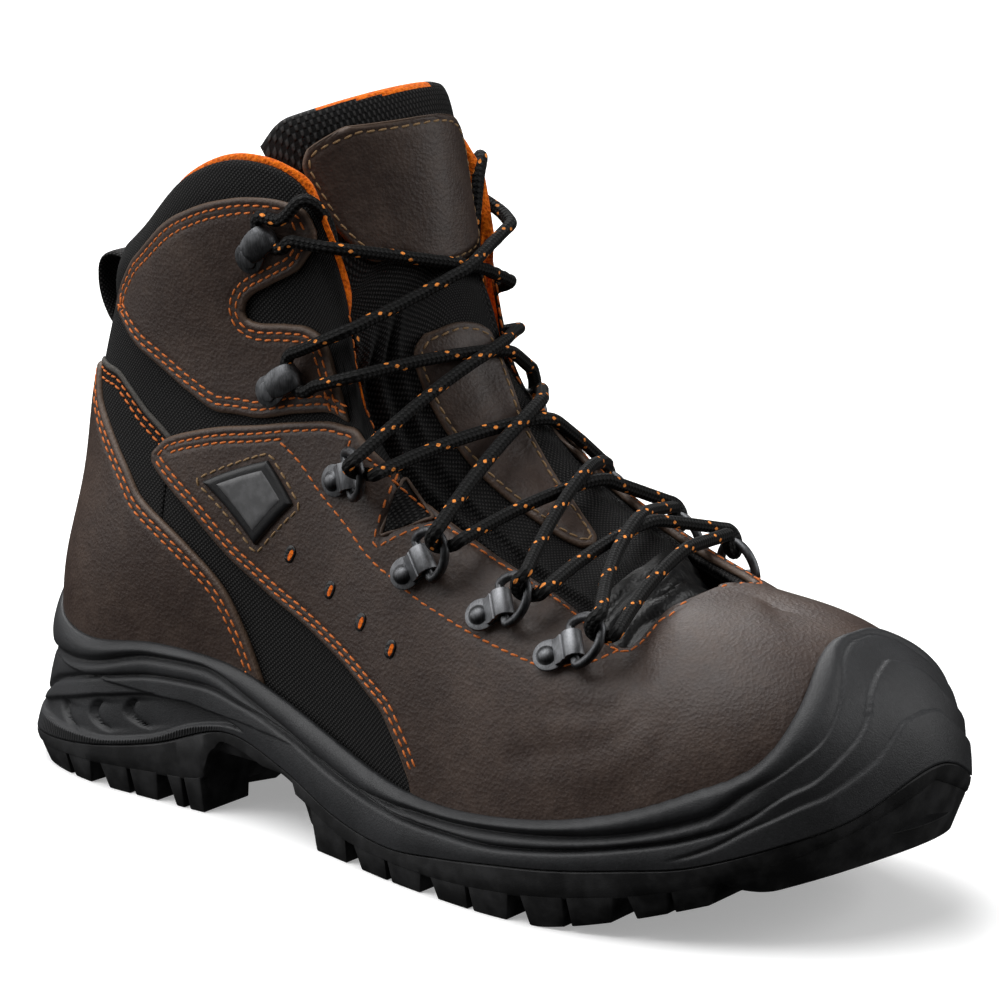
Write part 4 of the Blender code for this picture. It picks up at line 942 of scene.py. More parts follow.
def leather_sheet(name, grids, seams=(), lift=SKIN_GAP, thick=None, finishes=("brown_leather",), folds=None,
                  cloth=False):
    """A leather panel with rounded cut edges and pressed seams."""
    thick = millimetres("leather") if thick is None else thick
    base, normals, faces = merged_sheet(grids)
    edges = rim_edges(faces)
    rims = sorted({i for pair in edges for i in pair})
    middle = (base[[a for a, b in edges]] + base[[b for a, b in edges]]) / 2
    away = distance_to(base, np.concatenate([base[rims], middle]))
    round_off = np.sqrt(np.clip(1 - (1 - np.clip(away / CUT_ROUND, 0, 1)) ** 2, 0, 1))
    top = lift + thick * (0.25 + 0.75 * round_off)
    for line in seams:
        top = top - GROOVE_DEPTH * np.exp(-(distance_to(base, line) / GROOVE_HALF) ** 2)
    if folds is not None:
        top = top + folds(base)
    bottom = np.full(len(base), lift - 0.3)
    n = len(base)
    points = np.concatenate([base + normals * top[:, None], base + normals * bottom[:, None]])
    shell = faces + [[i + n for i in f[::-1]] for f in faces] + [[b, a, a + n, b + n] for a, b in edges]
    wear = np.concatenate([1 - smooth_step(away, 0.15, EDGE_WEAR), np.ones(n)])
    flat = np.concatenate([base, base])[:, (0, 2)] if cloth else None
    return mesh_piece(name, points, shell, finishes, uv=flat, edge=wear)


def surface_offset(surface, line, distance):
    """A line on a surface moved sideways by a distance; positive is to its left seen from outside."""
    a, b = line[:, 0], line[:, 1]
    point = surface(a, b)
    normal = unit(surface(a, b, 1.0) - point)
    side = np.cross(normal, unit(np.gradient(point, axis=0))) * np.asarray(distance)[..., None]
    e = 0.01
    pa = (surface(a + e, b) - surface(a - e, b)) / (2 * e)
    pb = (surface(a, b + e) - surface(a, b - e)) / (2 * e)
    aa, ab, bb = (pa * pa).sum(1), (pa * pb).sum(1), (pb * pb).sum(1)
    ra, rb = (pa * side).sum(1), (pb * side).sum(1)
    det = np.maximum(aa * bb - ab * ab, 1e-6)
    return line + np.column_stack([(ra * bb - rb * ab) / det, (rb * aa - ra * ab) / det])


def even_line(surface, line, step):
    """A line on a surface with its points a fixed distance apart."""
    p = surface(line[:, 0], line[:, 1])
    s = np.concatenate([[0], np.cumsum(np.linalg.norm(np.diff(p, axis=0), axis=1))])
    at = np.linspace(0, s[-1], max(2, int(round(s[-1] / step)) + 1))
    return np.column_stack([np.interp(at, s, line[:, 0]), np.interp(at, s, line[:, 1])])


def table_line(table, a0, a1, n=160):
    a = np.linspace(a0, a1, n)
    return np.column_stack([a, along(table, a)])


def corner_line(corners, closed=False, round_share=0.18, n=14):
    """A line through corners, each rounded a little."""
    c = np.array(corners, float)
    count = len(c)
    out = []
    for i in range(count):
        if not closed and i in (0, count - 1):
            out.append(c[i:i + 1])
            continue
        a, b, d = c[i - 1], c[i], c[(i + 1) % count]
        f = np.linspace(0, 1, n)[:, None]
        p0, p1 = b + (a - b) * round_share, b + (d - b) * round_share
        out.append(p0 * (1 - f) ** 2 + 2 * b * f * (1 - f) + p1 * f ** 2)
    out = np.concatenate(out)
    return np.concatenate([out, out[:1]]) if closed else out


def mirrored(line):
    return np.column_stack([COLUMNS - line[:, 0], line[:, 1]])


STITCH_FILL = 0.8
STITCH_SIDES = 6
# Rings of one stitch: place along it, thickness share and sink below its line.
STITCH_RINGS = ((-0.5, 0.35, 0.75), (-0.36, 0.9, 0.2), (0.0, 1.0, 0.0), (0.36, 0.9, 0.2), (0.5, 0.35, 0.75))
STITCH_TILT = 0.10


def stitch_row(surface, line, out):
    """Points and faces of one sewn row, a short rounded bar for each stitch."""
    pitch = millimetres("stitch_pitch")
    radius = millimetres("thread") / 2
    places = even_line(surface, line, pitch / 2)
    middle = places[1::2]
    before, after = places[0:-1:2][:len(middle)], places[2::2]
    middle, before = middle[:len(after)], before[:len(after)]
    centre = surface(middle[:, 0], middle[:, 1], out)
    normal = unit(surface(middle[:, 0], middle[:, 1], out + 1.0) - centre)
    run = unit(surface(after[:, 0], after[:, 1], out) - surface(before[:, 0], before[:, 1], out))
    side = np.cross(normal, run)
    run = unit(run + side * STITCH_TILT)
    side = np.cross(normal, run)
    turn = np.arange(STITCH_SIDES) * 2 * np.pi / STITCH_SIDES
    rings = []
    for place, share, sink in STITCH_RINGS:
        ring = (centre + run * place * pitch * STITCH_FILL - normal * sink * radius)[:, None, :]
        ring = ring + radius * share * (np.cos(turn)[:, None] * side[:, None, :] + np.sin(turn)[:, None] * normal[:, None, :])
        rings.append(ring)
    points = np.stack(rings, 1).reshape(-1, 3)
    each = len(STITCH_RINGS) * STITCH_SIDES
    shape = grid_faces(len(STITCH_RINGS), STITCH_SIDES, True).tolist()
    shape += [list(range(STITCH_SIDES))[::-1], list(range(each - STITCH_SIDES, each))]
    faces = [[i + k * each for i in f] for k in range(len(centre)) for f in shape]
    return points, faces


def sewn(name, finish_name, rows):
    """All sewn rows of one thread as a single piece."""
    points, faces, count = [], [], 0
    for row_points, row_faces in rows:
        points.append(row_points)
        faces += [[i + count for i in f] for f in row_faces]
        count += len(row_points)
    return mesh_piece(name, np.concatenate(points), faces, (finish_name,))


FIRST_ROW = 2.4
SECOND_ROW = 4.5


def seam_lines():
    """Every seam of the leather on the last, for both sides, as named lines of column and height."""
    lines = {"vamp": [], "counter": [], "ankle_outer": [], "ankle_inner": []}
    quarter_rear = table_line(QUARTER_LOW, 2.72, 7.3)
    quarter_top = table_line(QUARTER_TOP, 2.72, 11.95)
    quarter_top_rear = table_line(QUARTER_TOP, 2.9, 4.6)
    bend = np.linspace(0, np.pi / 2, 40)
    front_edge = np.column_stack([11.98 + 0.14 * np.sin(bend), 1 - FIRST_ROW / column_length(11.98) * np.cos(bend)])
    counter = table_line(COUNTER_TOP, 0.0, 4.5)
    ankle_edge = np.concatenate([table_line(ANKLE_LOW, 5.9, 1.53), table_line(ANKLE_TOP, 1.53, 5.25)])
    bay = np.concatenate([table_line(ANKLE_BAY_TOP, 5.25, BAY_TIP, 60), table_line(ANKLE_BAY_LOW, BAY_TIP + 0.01, 5.9, 60)])
    half = {
        "vamp": [surface_offset(on_last, quarter_rear, FIRST_ROW), surface_offset(on_last, quarter_rear, SECOND_ROW),
                 surface_offset(on_last, quarter_top, -FIRST_ROW),
                 surface_offset(on_last, quarter_top_rear, -SECOND_ROW), np.array(corner_line(QUARTER_SEAM)), front_edge],
        "counter": [surface_offset(on_last, counter, -FIRST_ROW), surface_offset(on_last, counter, -SECOND_ROW)],
        "ankle": [surface_offset(on_last, ankle_edge, -FIRST_ROW), surface_offset(on_last, ankle_edge, -SECOND_ROW),
                  surface_offset(on_last, bay, -FIRST_ROW), surface_offset(on_last, bay, -SECOND_ROW)],
    }
    for key in ("vamp", "counter"):
        lines[key] = half[key] + [mirrored(line) for line in half[key]]
    lines["ankle_outer"] = half["ankle"]
    lines["ankle_inner"] = [mirrored(line) for line in half["ankle"]]
    return lines


def on_face(lines):
    return [on_last(line[:, 0], line[:, 1]) for line in (even_line(on_last, line, 0.6) for line in lines)]


PANEL_STEP = 0.05
PANEL_ROWS = 74
LIP_TUCK = 2.5


def leather_foot(t):
    """Where the leather ends inside the sole's lip, as a share of the column."""
    return lip_share(t) - LIP_TUCK / column_length(t)


def vamp_grids():
    """Grids of the vamp and both quarters, with one across the closed toe."""
    t0 = QUARTER_TOP[0][0]
    side = np.linspace(t0, RIDGE, int((RIDGE - t0) / PANEL_STEP))
    front = np.linspace(RIDGE, TOE, int((TOE - RIDGE) / PANEL_STEP) + 20)
    grids = []
    for flip in (False, True):
        t = COLUMNS - side if flip else side
        low = np.where(side < 7.4, np.maximum(along(QUARTER_LOW, side), leather_foot(t)), leather_foot(t))
        high = np.maximum(along(QUARTER_TOP, side), low + 0.004)
        grid = band(on_last, t, low, high, PANEL_ROWS)
        grids.append(tuple(part[:, ::-1] for part in grid) if flip else grid)
    halves = []
    for t in (front, COLUMNS - front):
        halves.append(band(on_last, t, leather_foot(t), np.ones(len(t)), PANEL_ROWS))
    share = np.linspace(0, 1, 9)[1:-1, None]
    bridge = []
    for k in range(2):
        a, b = halves[0][k][:, -1], halves[1][k][:, -1]
        bridge.append(a[:, None] * (1 - share) + b[:, None] * share)
    bridge[1] = unit(bridge[1])
    grids.append(tuple(np.concatenate([halves[0][k], bridge[k], halves[1][k][:, ::-1]], 1) for k in range(2)))
    return grids


def counter_grids():
    end = COUNTER_TOP[-1][0]
    t = np.linspace(-end, end, int(2 * end / PANEL_STEP))
    low = leather_foot(t)
    return [band(on_last, t, low, np.maximum(along(COUNTER_TOP, np.abs(t)), low + 0.004), PANEL_ROWS)]


def ankle_grids(flip):
    lower = np.unique(np.concatenate([np.linspace(ANKLE_LOW[0][0], BAY_TIP, 60), np.linspace(BAY_TIP, 5.3, 40),
                                      np.linspace(5.3, ANKLE_LOW[-1][0], 16)]))
    upper = lower[lower <= 5.3]
    bay_low = along(ANKLE_BAY_LOW, lower)
    bay_top = np.where(upper <= BAY_TIP, along(ANKLE_BAY_LOW, upper), along(ANKLE_BAY_TOP, upper))
    grids = []
    for t, low, high in ((lower, along(ANKLE_LOW, lower), bay_low), (upper, bay_top, along(ANKLE_TOP, upper))):
        grids.append(band(on_last, COLUMNS - t if flip else t, low, np.maximum(high, low + 0.002), 34))
    return grids


WINDOW_SINK = 1.0
# Soft creases of the vamp: places of column and height, depth and half breadth.
VAMP_CREASES = ((((9.4, 0.3), (10.3, 0.4), (11.2, 0.56)), 0.4, 4.0), (((9.9, 0.5), (10.7, 0.58), (11.3, 0.72)), 0.3, 3.0),
                (((10.6, 0.22), (11.5, 0.36), (12.2, 0.55)), 0.3, 4.5))
# Edge of the black overlay above the counter's leather and the raw strip that binds it.
OVERLAY_TOP = ((1.08, 0.735), (1.4, 0.715), (1.73, 0.692), (2.1, 0.64), (2.5, 0.567), (2.93, 0.5))
OVERLAY_TUCK = 0.03
OVERLAY_THICK = 0.4
STRIP_WIDE = 1.7


def window_corners(flip):
    line = np.array(TRIANGLE)
    line = mirrored(line) if flip else line
    return on_last(line[:, 0], line[:, 1])


def inside_window(points, corners):
    """Distance of points inside a flat triangle from its nearest side, below nought outside it."""
    a, b, c = corners
    normal = unit(np.cross(b - a, c - a))
    inside = 12 - np.abs((points - a) @ normal)
    for p, q in ((a, b), (b, c), (c, a)):
        inside = np.minimum(inside, (points - p) @ unit(np.cross(normal, q - p)))
    return inside


def vamp_folds(points):
    """The sunk windows of both quarters and the soft walking creases beside the throat."""
    out = np.zeros(len(points))
    for flip in (False, True):
        for places, depth, half in VAMP_CREASES:
            line = even_line(on_last, corner_line(places), 2.0)
            line = mirrored(line) if flip else line
            out -= depth * np.exp(-(distance_to(points, on_last(line[:, 0], line[:, 1])) / half) ** 2)
        out -= WINDOW_SINK * smooth_step(inside_window(points, window_corners(flip)), -0.9, 0.1)
    return out


class BOOT_OT_leather(bpy.types.Operator):
    """Leather of the vamp, quarters, counter and ankle, with their sewn rows"""
    bl_idname = "boot.leather"
    bl_label = "Leather panels"

    def execute(self, context):
        lines = seam_lines()
        panels = (("vamp_leather", "vamp_quarter", "vamp", vamp_grids()),
                  ("counter_leather", "heel_counter", "counter", counter_grids()),
                  ("ankle_leather_outer", "ankle_outer", "ankle_outer", ankle_grids(False)),
                  ("ankle_leather_inner", "ankle_inner", "ankle_inner", ankle_grids(True)))
        rows = []
        top = SKIN_GAP + millimetres("leather") - GROOVE_DEPTH + 0.12
        for name, node, key, grids in panels:
            folds = vamp_folds if key == "vamp" else None
            settle(leather_sheet(name, grids, on_face(lines[key]), folds=folds), "leather", node)
            rows += [stitch_row(on_last, line, top) for line in lines[key]]
        for side, flip in (("outer", False), ("inner", True)):
            rows += self.make_overlay(side, flip)
        settle(sewn("leather_stitching", "thread", rows), "textile")
        return {"FINISHED"}

    def make_overlay(self, side, flip):
        """Black overlay between counter and ankle, its raw edge strip and its two sewn rows."""
        t = np.linspace(OVERLAY_TOP[0][0], OVERLAY_TOP[-1][0], 70)
        top = along(OVERLAY_TOP, t)
        low = np.minimum(along(COUNTER_TOP, t) - OVERLAY_TUCK, top - 0.01)
        line = np.column_stack([t, top])
        inset = surface_offset(on_last, line, -STRIP_WIDE)
        sewn_at = [surface_offset(on_last, line, -STRIP_WIDE - d) for d in (1.2, 3.4)]
        if flip:
            line, inset = mirrored(line), mirrored(inset)
            sewn_at = [mirrored(row) for row in sewn_at]
            t = COLUMNS - t
        grid = band(on_last, t, low, top, 30)
        panel = leather_sheet(side + "_overlay", [grid], on_face(sewn_at), 0.05, OVERLAY_THICK, ("woven_textile",), cloth=True)
        settle(panel, "textile")
        share = np.linspace(0, 1, 8)[None, :, None]
        place = line[:, None, :] * (1 - share) + inset[:, None, :] * share
        points = on_last(place[..., 0], place[..., 1])
        normals = unit(on_last(place[..., 0], place[..., 1], 1.0) - points)
        settle(leather_sheet(side + "_overlay_strip", [(points, normals)], (), 0.35, 0.7, ("raw_strip",)), "textile")
        return [stitch_row(on_last, row, OVERLAY_THICK + 0.1) for row in sewn_at]


TEXTILE_WALL = 1.2
COLLAR_PAD = 1.2
LINING_END = 6.42
GUSSET_END = 11.6
THROAT_RIM = 2.4
LINING_ROLL = 2.0
THROAT_ROW = (6.2, 7.4)


def collar_pad(t, h):
    twin = np.minimum(np.mod(t, COLUMNS), COLUMNS - np.mod(t, COLUMNS))
    return COLLAR_PAD * np.sin(np.pi * np.clip((h - 0.88) / 0.12, 0, 1)) * (1 - smooth_step(twin, 4.5, 5.6))


def closed_over_toe(rows, columns, ts):
    """Faces that close the top row over the toe, from each column to its twin."""
    half = columns // 2
    start = (rows - 1) * columns
    faces = []
    for j in range(int(np.searchsorted(ts[:half + 1], RIDGE - 1e-6)), half):
        ring = [j, j + 1, columns - j - 1, (columns - j) % columns]
        faces.append([start + i for k, i in enumerate(ring) if i not in ring[:k]])
    return faces


class BOOT_OT_upper(bpy.types.Operator):
    """Woven upper and its pile lining"""
    bl_idname = "boot.upper"
    bl_label = "Upper and lining"

    def execute(self, context):
        t = np.linspace(0, COLUMNS, 301)[:-1]
        h = np.linspace(0.0, 1.0, 90)
        arc = np.concatenate([[0], np.cumsum(np.linalg.norm(np.diff(on_last(t, np.full(len(t), 0.5)), axis=0), axis=1))])
        tt, hh = np.meshgrid(t, h)
        outer = on_last(tt, hh, collar_pad(tt, hh))
        inner = on_last(tt, hh, -TEXTILE_WALL)
        faces = grid_faces(len(h), len(t), True).tolist() + closed_over_toe(len(h), len(t), t)
        points = np.concatenate([outer.reshape(-1, 3), inner.reshape(-1, 3)])
        n = len(h) * len(t)
        shell = faces + [[i + n for i in f[::-1]] for f in faces] + [[b, a, a + n, b + n] for a, b in rim_edges(faces)]
        uv = np.stack([np.broadcast_to(arc, hh.shape), hh * column_length(t)], -1).reshape(-1, 2)
        settle(mesh_piece("textile_upper", points, shell, ("woven_textile",), uv=np.concatenate([uv, uv])), "textile", "upper")
        self.make_lining()
        line = np.column_stack([np.linspace(*THROAT_ROW, 60), np.full(60, 0.985)])
        rows = [stitch_row(on_last, row, 0.15) for row in (line, mirrored(line))]
        settle(sewn("throat_stitching", "thread", rows), "textile")
        return {"FINISHED"}

    def make_lining(self):
        """A closed pad down the inside, with a round rim that stands above the collar and upper throat."""
        t = np.linspace(-GUSSET_END, GUSSET_END, 420)
        twin = np.abs(t)
        show = 1 - smooth_step(twin, LINING_END - 0.25, LINING_END)
        crest = -2.0 + 2.2 * show + THROAT_RIM * smooth_step(twin, 4.6, 5.4) * show
        rolled = LINING_ROLL * smooth_step(twin, 5.1, 5.5) * show
        thin, half = -2.3, 1.1
        rows = [on_last(t, np.full(len(t), h), np.full(len(t), thin + half - 0.1)) for h in np.linspace(0.3, 0.97, 24)]
        for turn in np.radians(np.linspace(0, 180, 13)):
            out = thin + rolled + (half + 0.25 * rolled) * np.cos(turn)
            rows.append(rim(t, out, crest + half * 1.3 * np.sin(turn)))
        rows += [on_last(t, np.full(len(t), h), np.full(len(t), thin - half)) for h in np.linspace(0.97, 0.03, 24)]
        points = np.stack(rows, 1)
        count = points.shape[1]
        faces = grid_faces(len(t), count, True).tolist()
        faces += [list(range(count))[::-1], list(range((len(t) - 1) * count, len(t) * count))]
        between = np.abs(t[:-1] + t[1:]) / 2
        kinds = np.append(np.repeat(between > LINING_END, count), [True, True]).astype(int)
        along_it = np.broadcast_to(t[:, None] * 24, (len(t), count))
        uv = np.stack([along_it, np.broadcast_to(np.arange(count) * 2.8, (len(t), count))], -1).reshape(-1, 2)
        obj = mesh_piece("collar_lining", points.reshape(-1, 3), faces, ("pile_lining", "woven_textile"), uv=uv, kinds=kinds)
        settle(obj, "textile")


TONGUE_ACROSS = 97
TONGUE_ROWS = 200
THROAT_LEATHER = 2.6
TONGUE_BULGE = 6.5
CORNER_DROP = 0.16


def tongue_depth(s):
    """Thickness of the padded tongue along its length."""
    return 4.0 + 4.0 * smooth_step(s, 10.0, 12.5)


def tongue_bulge(s, u):
    """How far the pad stands out on its inner half."""
    return TONGUE_BULGE * smooth_step(u, 0.0, 0.45) * (1 - smooth_step(u, 0.86, 1.0)) * smooth_step(s, 1.5, 3.2) \
        * (1 - smooth_step(s, 7.5, 10.8))


def on_pad(s, u, out=0.0):
    return on_tongue(s, u, out + tongue_bulge(s, u))


def tongue_folds(s, u):
    """Bellows beside the strip and creases across the throat's front."""
    side = np.abs(u)
    bellows = smooth_step(side, 0.5, 0.58) * (1 - smooth_step(side, 0.9, 0.99))
    bellows = bellows * smooth_step(s, 2.2, 3.4) * (1 - smooth_step(s, 10.2, 11.4))
    ripple = 1.5 * np.sin((side - 0.5) * 2 * np.pi / 0.17 + 0.5 * np.sin(s * 1.3)) * bellows
    front = (1 - smooth_step(s, 2.0, 3.0)) * (1 - smooth_step(side, 0.8, 0.97))
    wave = s * 5.4 + 1.4 * u * u + 0.7 * np.sin(u * 5 + s) + 0.4 * np.sin(u * 11 - s * 2)
    crease = 0.9 * (np.abs(np.sin(wave)) - 0.6) * front
    return ripple + crease


class BOOT_OT_tongue(bpy.types.Operator):
    """Padded tongue with its leather patch and strip"""
    bl_idname = "boot.tongue"
    bl_label = "Tongue"

    def execute(self, context):
        self.make_pad()
        rows = []
        for name, node, low, high in (("tongue_patch_leather", "tongue_patch", PATCH_LOW, PATCH_HIGH),
                                      ("tongue_strip_leather", "tongue_strip", STRIP_LOW, STRIP_HIGH)):
            s0, s1 = low[0][0], low[-1][0]
            s = s0 + (s1 - s0) * crowded(90)
            grid = band(on_pad, s, along(low, s), along(high, s), 50)
            left = table_line(low, s0 + 0.02, s1 - 0.02)
            right = table_line(high, s1 - 0.02, s0 + 0.02)
            ring = np.concatenate([left, right, left[:1]])
            seam = surface_offset(on_pad, ring, 2.0 * self.turn(ring))
            shown = [on_pad(line[:, 0], line[:, 1]) for line in [even_line(on_pad, seam, 0.6)]]
            settle(leather_sheet(name, [grid], shown, PATCH_GAP), "leather", node)
            rows.append(stitch_row(on_pad, seam, PATCH_GAP + millimetres("leather") - GROOVE_DEPTH + 0.1))
        settle(sewn("tongue_stitching", "tan_thread", rows), "textile")
        return {"FINISHED"}

    def turn(self, ring):
        """Sign of the way inward for a closed line on the tongue."""
        p = on_tongue(ring[:, 0], ring[:, 1])
        n = on_tongue(ring[:, 0], ring[:, 1], 1.0) - p
        side = np.cross(n, np.gradient(p, axis=0))
        return 1.0 if ((p.mean(0) - p) * side).sum() > 0 else -1.0

    def make_pad(self):
        s = np.concatenate([np.linspace(0, 13.2, TONGUE_ROWS), np.linspace(13.2, TONGUE_END, 24)[1:]])
        u = np.sin(np.linspace(-1, 1, TONGUE_ACROSS) * np.pi / 2)
        ss, uu = np.meshgrid(s, u, indexing="ij")
        corner = np.clip((np.abs(uu) - 0.88) / 0.12, 0, 1) ** 2 * smooth_step(ss, 12.5, TONGUE_END)
        q = np.clip((ss - 13.3) / (TONGUE_END - 13.3), 0, 1)
        side = np.sqrt(np.clip(1 - uu ** 8, 0, 1))
        half = tongue_depth(ss) / 2 * np.sqrt(np.clip(1 - q * q, 0, 1)) * (0.12 + 0.88 * side)
        middle = -tongue_depth(ss) / 2
        low = ss - CORNER_DROP * corner
        front = on_pad(low, uu, middle + half + tongue_folds(ss, uu))
        back = on_tongue(low, uu, middle - half)
        ring = np.concatenate([front, back[:, ::-1]], 1)
        rows, count = ring.shape[:2]
        faces = grid_faces(rows, count, True)
        lower = np.repeat(s[:-1], count)
        place = np.tile(np.arange(count), rows - 1)
        is_back = place >= TONGUE_ACROSS - 1
        across = np.tile(np.concatenate([u, u[::-1]]), rows - 1)
        rim = 13.88 + 0.09 * np.clip((-across - 0.3) / 0.5, 0, 1)
        pile = is_back & ((np.abs(across) < 0.88) | (lower > 11.2)) | (lower > rim) & (across < 0.12)
        kinds = np.where(pile, 1, np.where(lower < THROAT_LEATHER, 2, 0))
        wide = np.concatenate([u, u[::-1]]) * 42
        uv = np.stack(np.broadcast_arrays(wide[None, :], s[:, None] * 12.5), -1).reshape(-1, 2)
        ends = [list(range(count))[::-1], list(range((rows - 1) * count, rows * count))]
        obj = mesh_piece("tongue_pad", ring.reshape(-1, 3), faces.tolist() + ends,
                         ("woven_textile", "pile_lining", "black_leather"), uv=uv, kinds=np.append(kinds, [1, 1]))
        face_outward(obj, 1e-6)
        settle(obj, "textile", "tongue")


# Lines moulded into the sole wall, as column and share of the wall from seam to lip.
BEAD = ((0.0, 0.45), (0.5, 0.52), (0.97, 0.64), (2.23, 0.79), (2.93, 0.86), (3.63, 0.85), (4.47, 0.64), (5.37, 0.59),
        (6.3, 0.60), (7.67, 0.74), (8.83, 0.71), (9.97, 0.67), (11.17, 0.61), (12.2, 0.61), (12.83, 0.74), (13.4, 0.64),
        (13.8, 0.57), (14.07, 0.64), (14.23, 0.74), (14.4, 0.84), (14.87, 0.91), (15.0, 0.915))
MIDDLE_LINE = ((0.0, 0.12), (0.5, 0.16), (0.9, 0.28), (1.5, 0.5), (2.23, 0.64), (3.0, 0.67), (3.63, 0.62), (4.27, 0.51),
               (4.9, 0.53), (5.7, 0.53), (6.7, 0.55), (7.9, 0.52), (9.2, 0.38), (9.97, 0.39), (11.6, 0.39), (12.47, 0.40),
               (13.2, 0.45), (13.73, 0.37), (14.13, 0.39), (14.33, 0.44), (14.47, 0.55), (14.67, 0.62), (15.0, 0.69))
LOW_LINE = ((11.6, 0.12), (12.3, 0.2), (12.9, 0.30), (13.43, 0.27), (13.87, 0.22), (14.27, 0.22), (14.53, 0.26), (14.73, 0.31),
            (15.0, 0.315))
RECESS_TOP = ((0.6, 0.15), (0.87, 0.2), (1.73, 0.39), (2.33, 0.48), (2.83, 0.49), (3.4, 0.43), (3.87, 0.26), (4.37, 0.12))
RECESS_LOW = ((0.6, 0.15), (1.17, 0.13), (1.93, 0.08), (2.47, 0.04), (3.0, 0.05), (3.47, 0.09), (3.87, 0.07), (4.37, 0.10))
CRESCENTS = (((1.57, 0.29), (1.58, 0.23), (1.73, 0.15)), ((2.18, 0.37), (2.13, 0.28), (2.27, 0.16)),
             ((2.67, 0.39), (2.63, 0.31), (2.8, 0.18)))
SOFT_GROOVE = 1.4
SHARP_GROOVE = 1.6
ROLL = 1.25
BAND_SWELL = 0.5
PLATE_STEP = 0.65
PLATE_FALL = 1.7
RECESS_DEPTH = 1.3
CRESCENT_DIP = 1.7
CRESCENT_FADE = 4.5
LIP_ROUND = 2.6


def sole_columns(step):
    """Columns at even distances round the sole."""
    t = np.linspace(0, COLUMNS, 3001)
    p = feather(t)[0]
    s = np.concatenate([[0], np.cumsum(np.linalg.norm(np.diff(p, axis=0), axis=1))])
    half = int(round(s[-1] / 2 / step))
    middle = np.interp(TOE, t, s)
    at = np.concatenate([np.linspace(0, middle, half + 1), np.linspace(middle, s[-1], half + 1)[1:-1]])
    return np.interp(at, s, t), at


def swelling(w, low, high):
    """Round rise between two lines, nought at both."""
    share = np.clip((w - low) / np.maximum(high - low, 0.02), 0, 1)
    return np.sin(np.pi * share)


def serrated(t, w, high):
    """Share of the fine serration on the ledge under the heel's recess, which shapes the serration and also paints
    shade on it.
    """
    twin = np.minimum(t, COLUMNS - t)[:, None]
    below = (w[None, :] - along(RECESS_LOW, twin)) * high[:, None]
    return smooth_step(w[None, :] * high[:, None], 0.1, 0.5) * (1 - smooth_step(below, -0.5, 0.1)) * smooth_step(twin, 1.0, 1.4) \
        * (1 - smooth_step(twin, 3.7, 4.1))


def sole_relief(t, arc, w, high):
    """How far the moulded wall stands in or out at column t and share w of a wall high millimetres tall."""
    twin = np.minimum(t, COLUMNS - t)[:, None]
    high = high[:, None]
    w = w[None, :]
    bead, middle, low = (along(table, twin) for table in (BEAD, MIDDLE_LINE, LOW_LINE))

    def groove(line, wide):
        return np.exp(-((w - line) * high / wide) ** 2)

    roll = ROLL * swelling(w, bead, 1.0)
    side = roll + BAND_SWELL * swelling(w, middle, bead) + BAND_SWELL * swelling(w, 0.0, middle)
    side = side - SOFT_GROOVE * groove(bead, 1.2) - SHARP_GROOVE * groove(middle, 0.65)
    side = side - 0.9 * groove(low, 0.6) * smooth_step(twin, 11.6, 12.2)
    front = roll
    for upper, lower in ((bead, middle), (middle, low), (low, -0.3 + 0 * low)):
        plate = PLATE_STEP * (1 - PLATE_FALL * np.clip((upper - w) / np.maximum(upper - lower, 0.02), 0, 1))
        under = 1 - smooth_step((w - upper) * high, -0.3, 0.3)
        front = front * (1 - under) + plate * under
    toe = smooth_step(twin, 12.4, 13.3)
    out = side * (1 - toe) + front * toe
    top, foot = along(RECESS_TOP, twin), along(RECESS_LOW, twin)
    recess = smooth_step((w - foot) * high, 0, 0.8) * (1 - smooth_step((w - top) * high, -0.8, 0)) * (1 - smooth_step(twin, 4.2, 4.4))
    out = out * (1 - 0.8 * recess) - RECESS_DEPTH * recess
    mm_per_column = np.gradient(arc, t)[:, None]
    for line in CRESCENTS:
        share, column = np.array(line)[::-1, 1], np.array(line)[::-1, 0]
        bow = np.polyval(np.polyfit(share, column, 2), w[0])
        ahead = (twin - bow[None, :]) * mm_per_column
        inside = smooth_step(w, share[0] - 0.06, share[0]) * (1 - smooth_step(w, share[-1], share[-1] + 0.05))
        dip = smooth_step(ahead, -0.7, 0.5) * np.exp(-np.clip(ahead, 0, None) / CRESCENT_FADE)
        dip = 0.6 * dip + 0.9 * np.exp(-((ahead - 0.4) / 0.9) ** 2)
        out = out - CRESCENT_DIP * dip * inside * recess
    lip = np.clip((1 - w) * high / LIP_ROUND, 0, 1)
    return out - LIP_ROUND * 0.7 * (1 - np.sqrt(np.clip(1 - (1 - lip) ** 2, 0, 1)))


def twin_strips(first, columns):
    """Faces that close a ring from the outer half to the inner half."""
    half = columns // 2
    faces = []
    for j in range(half):
        ring = [j, j + 1, columns - j - 1, (columns - j) % columns]
        faces.append([first + i for k, i in enumerate(ring) if i not in ring[:k]])
    return faces


def ring_stack(name, rings, finishes, uv=None, edge=None):
    """Closed body from rings round the boot, its first and last closed from side to side."""
    columns = len(rings[0])
    faces = grid_faces(len(rings), columns, True).tolist()
    faces += twin_strips(0, columns) + twin_strips((len(rings) - 1) * columns, columns)
    return mesh_piece(name, np.concatenate(rings), faces, finishes, uv=uv, edge=edge)


SOLE_STEP = 1.15
WALL_ROWS = 70


def shelf(t, lip_row, drop):
    base = feather(t)[0][:, 2]
    seam = sole_lines(t)[1]
    ring = wall(t, np.minimum(seam, 0.0), lip_row[:, 4] - SHELF)
    ring[:, 2] = np.minimum(lip_row[:, 1], base - MIDSOLE_FLOOR) - drop
    return ring


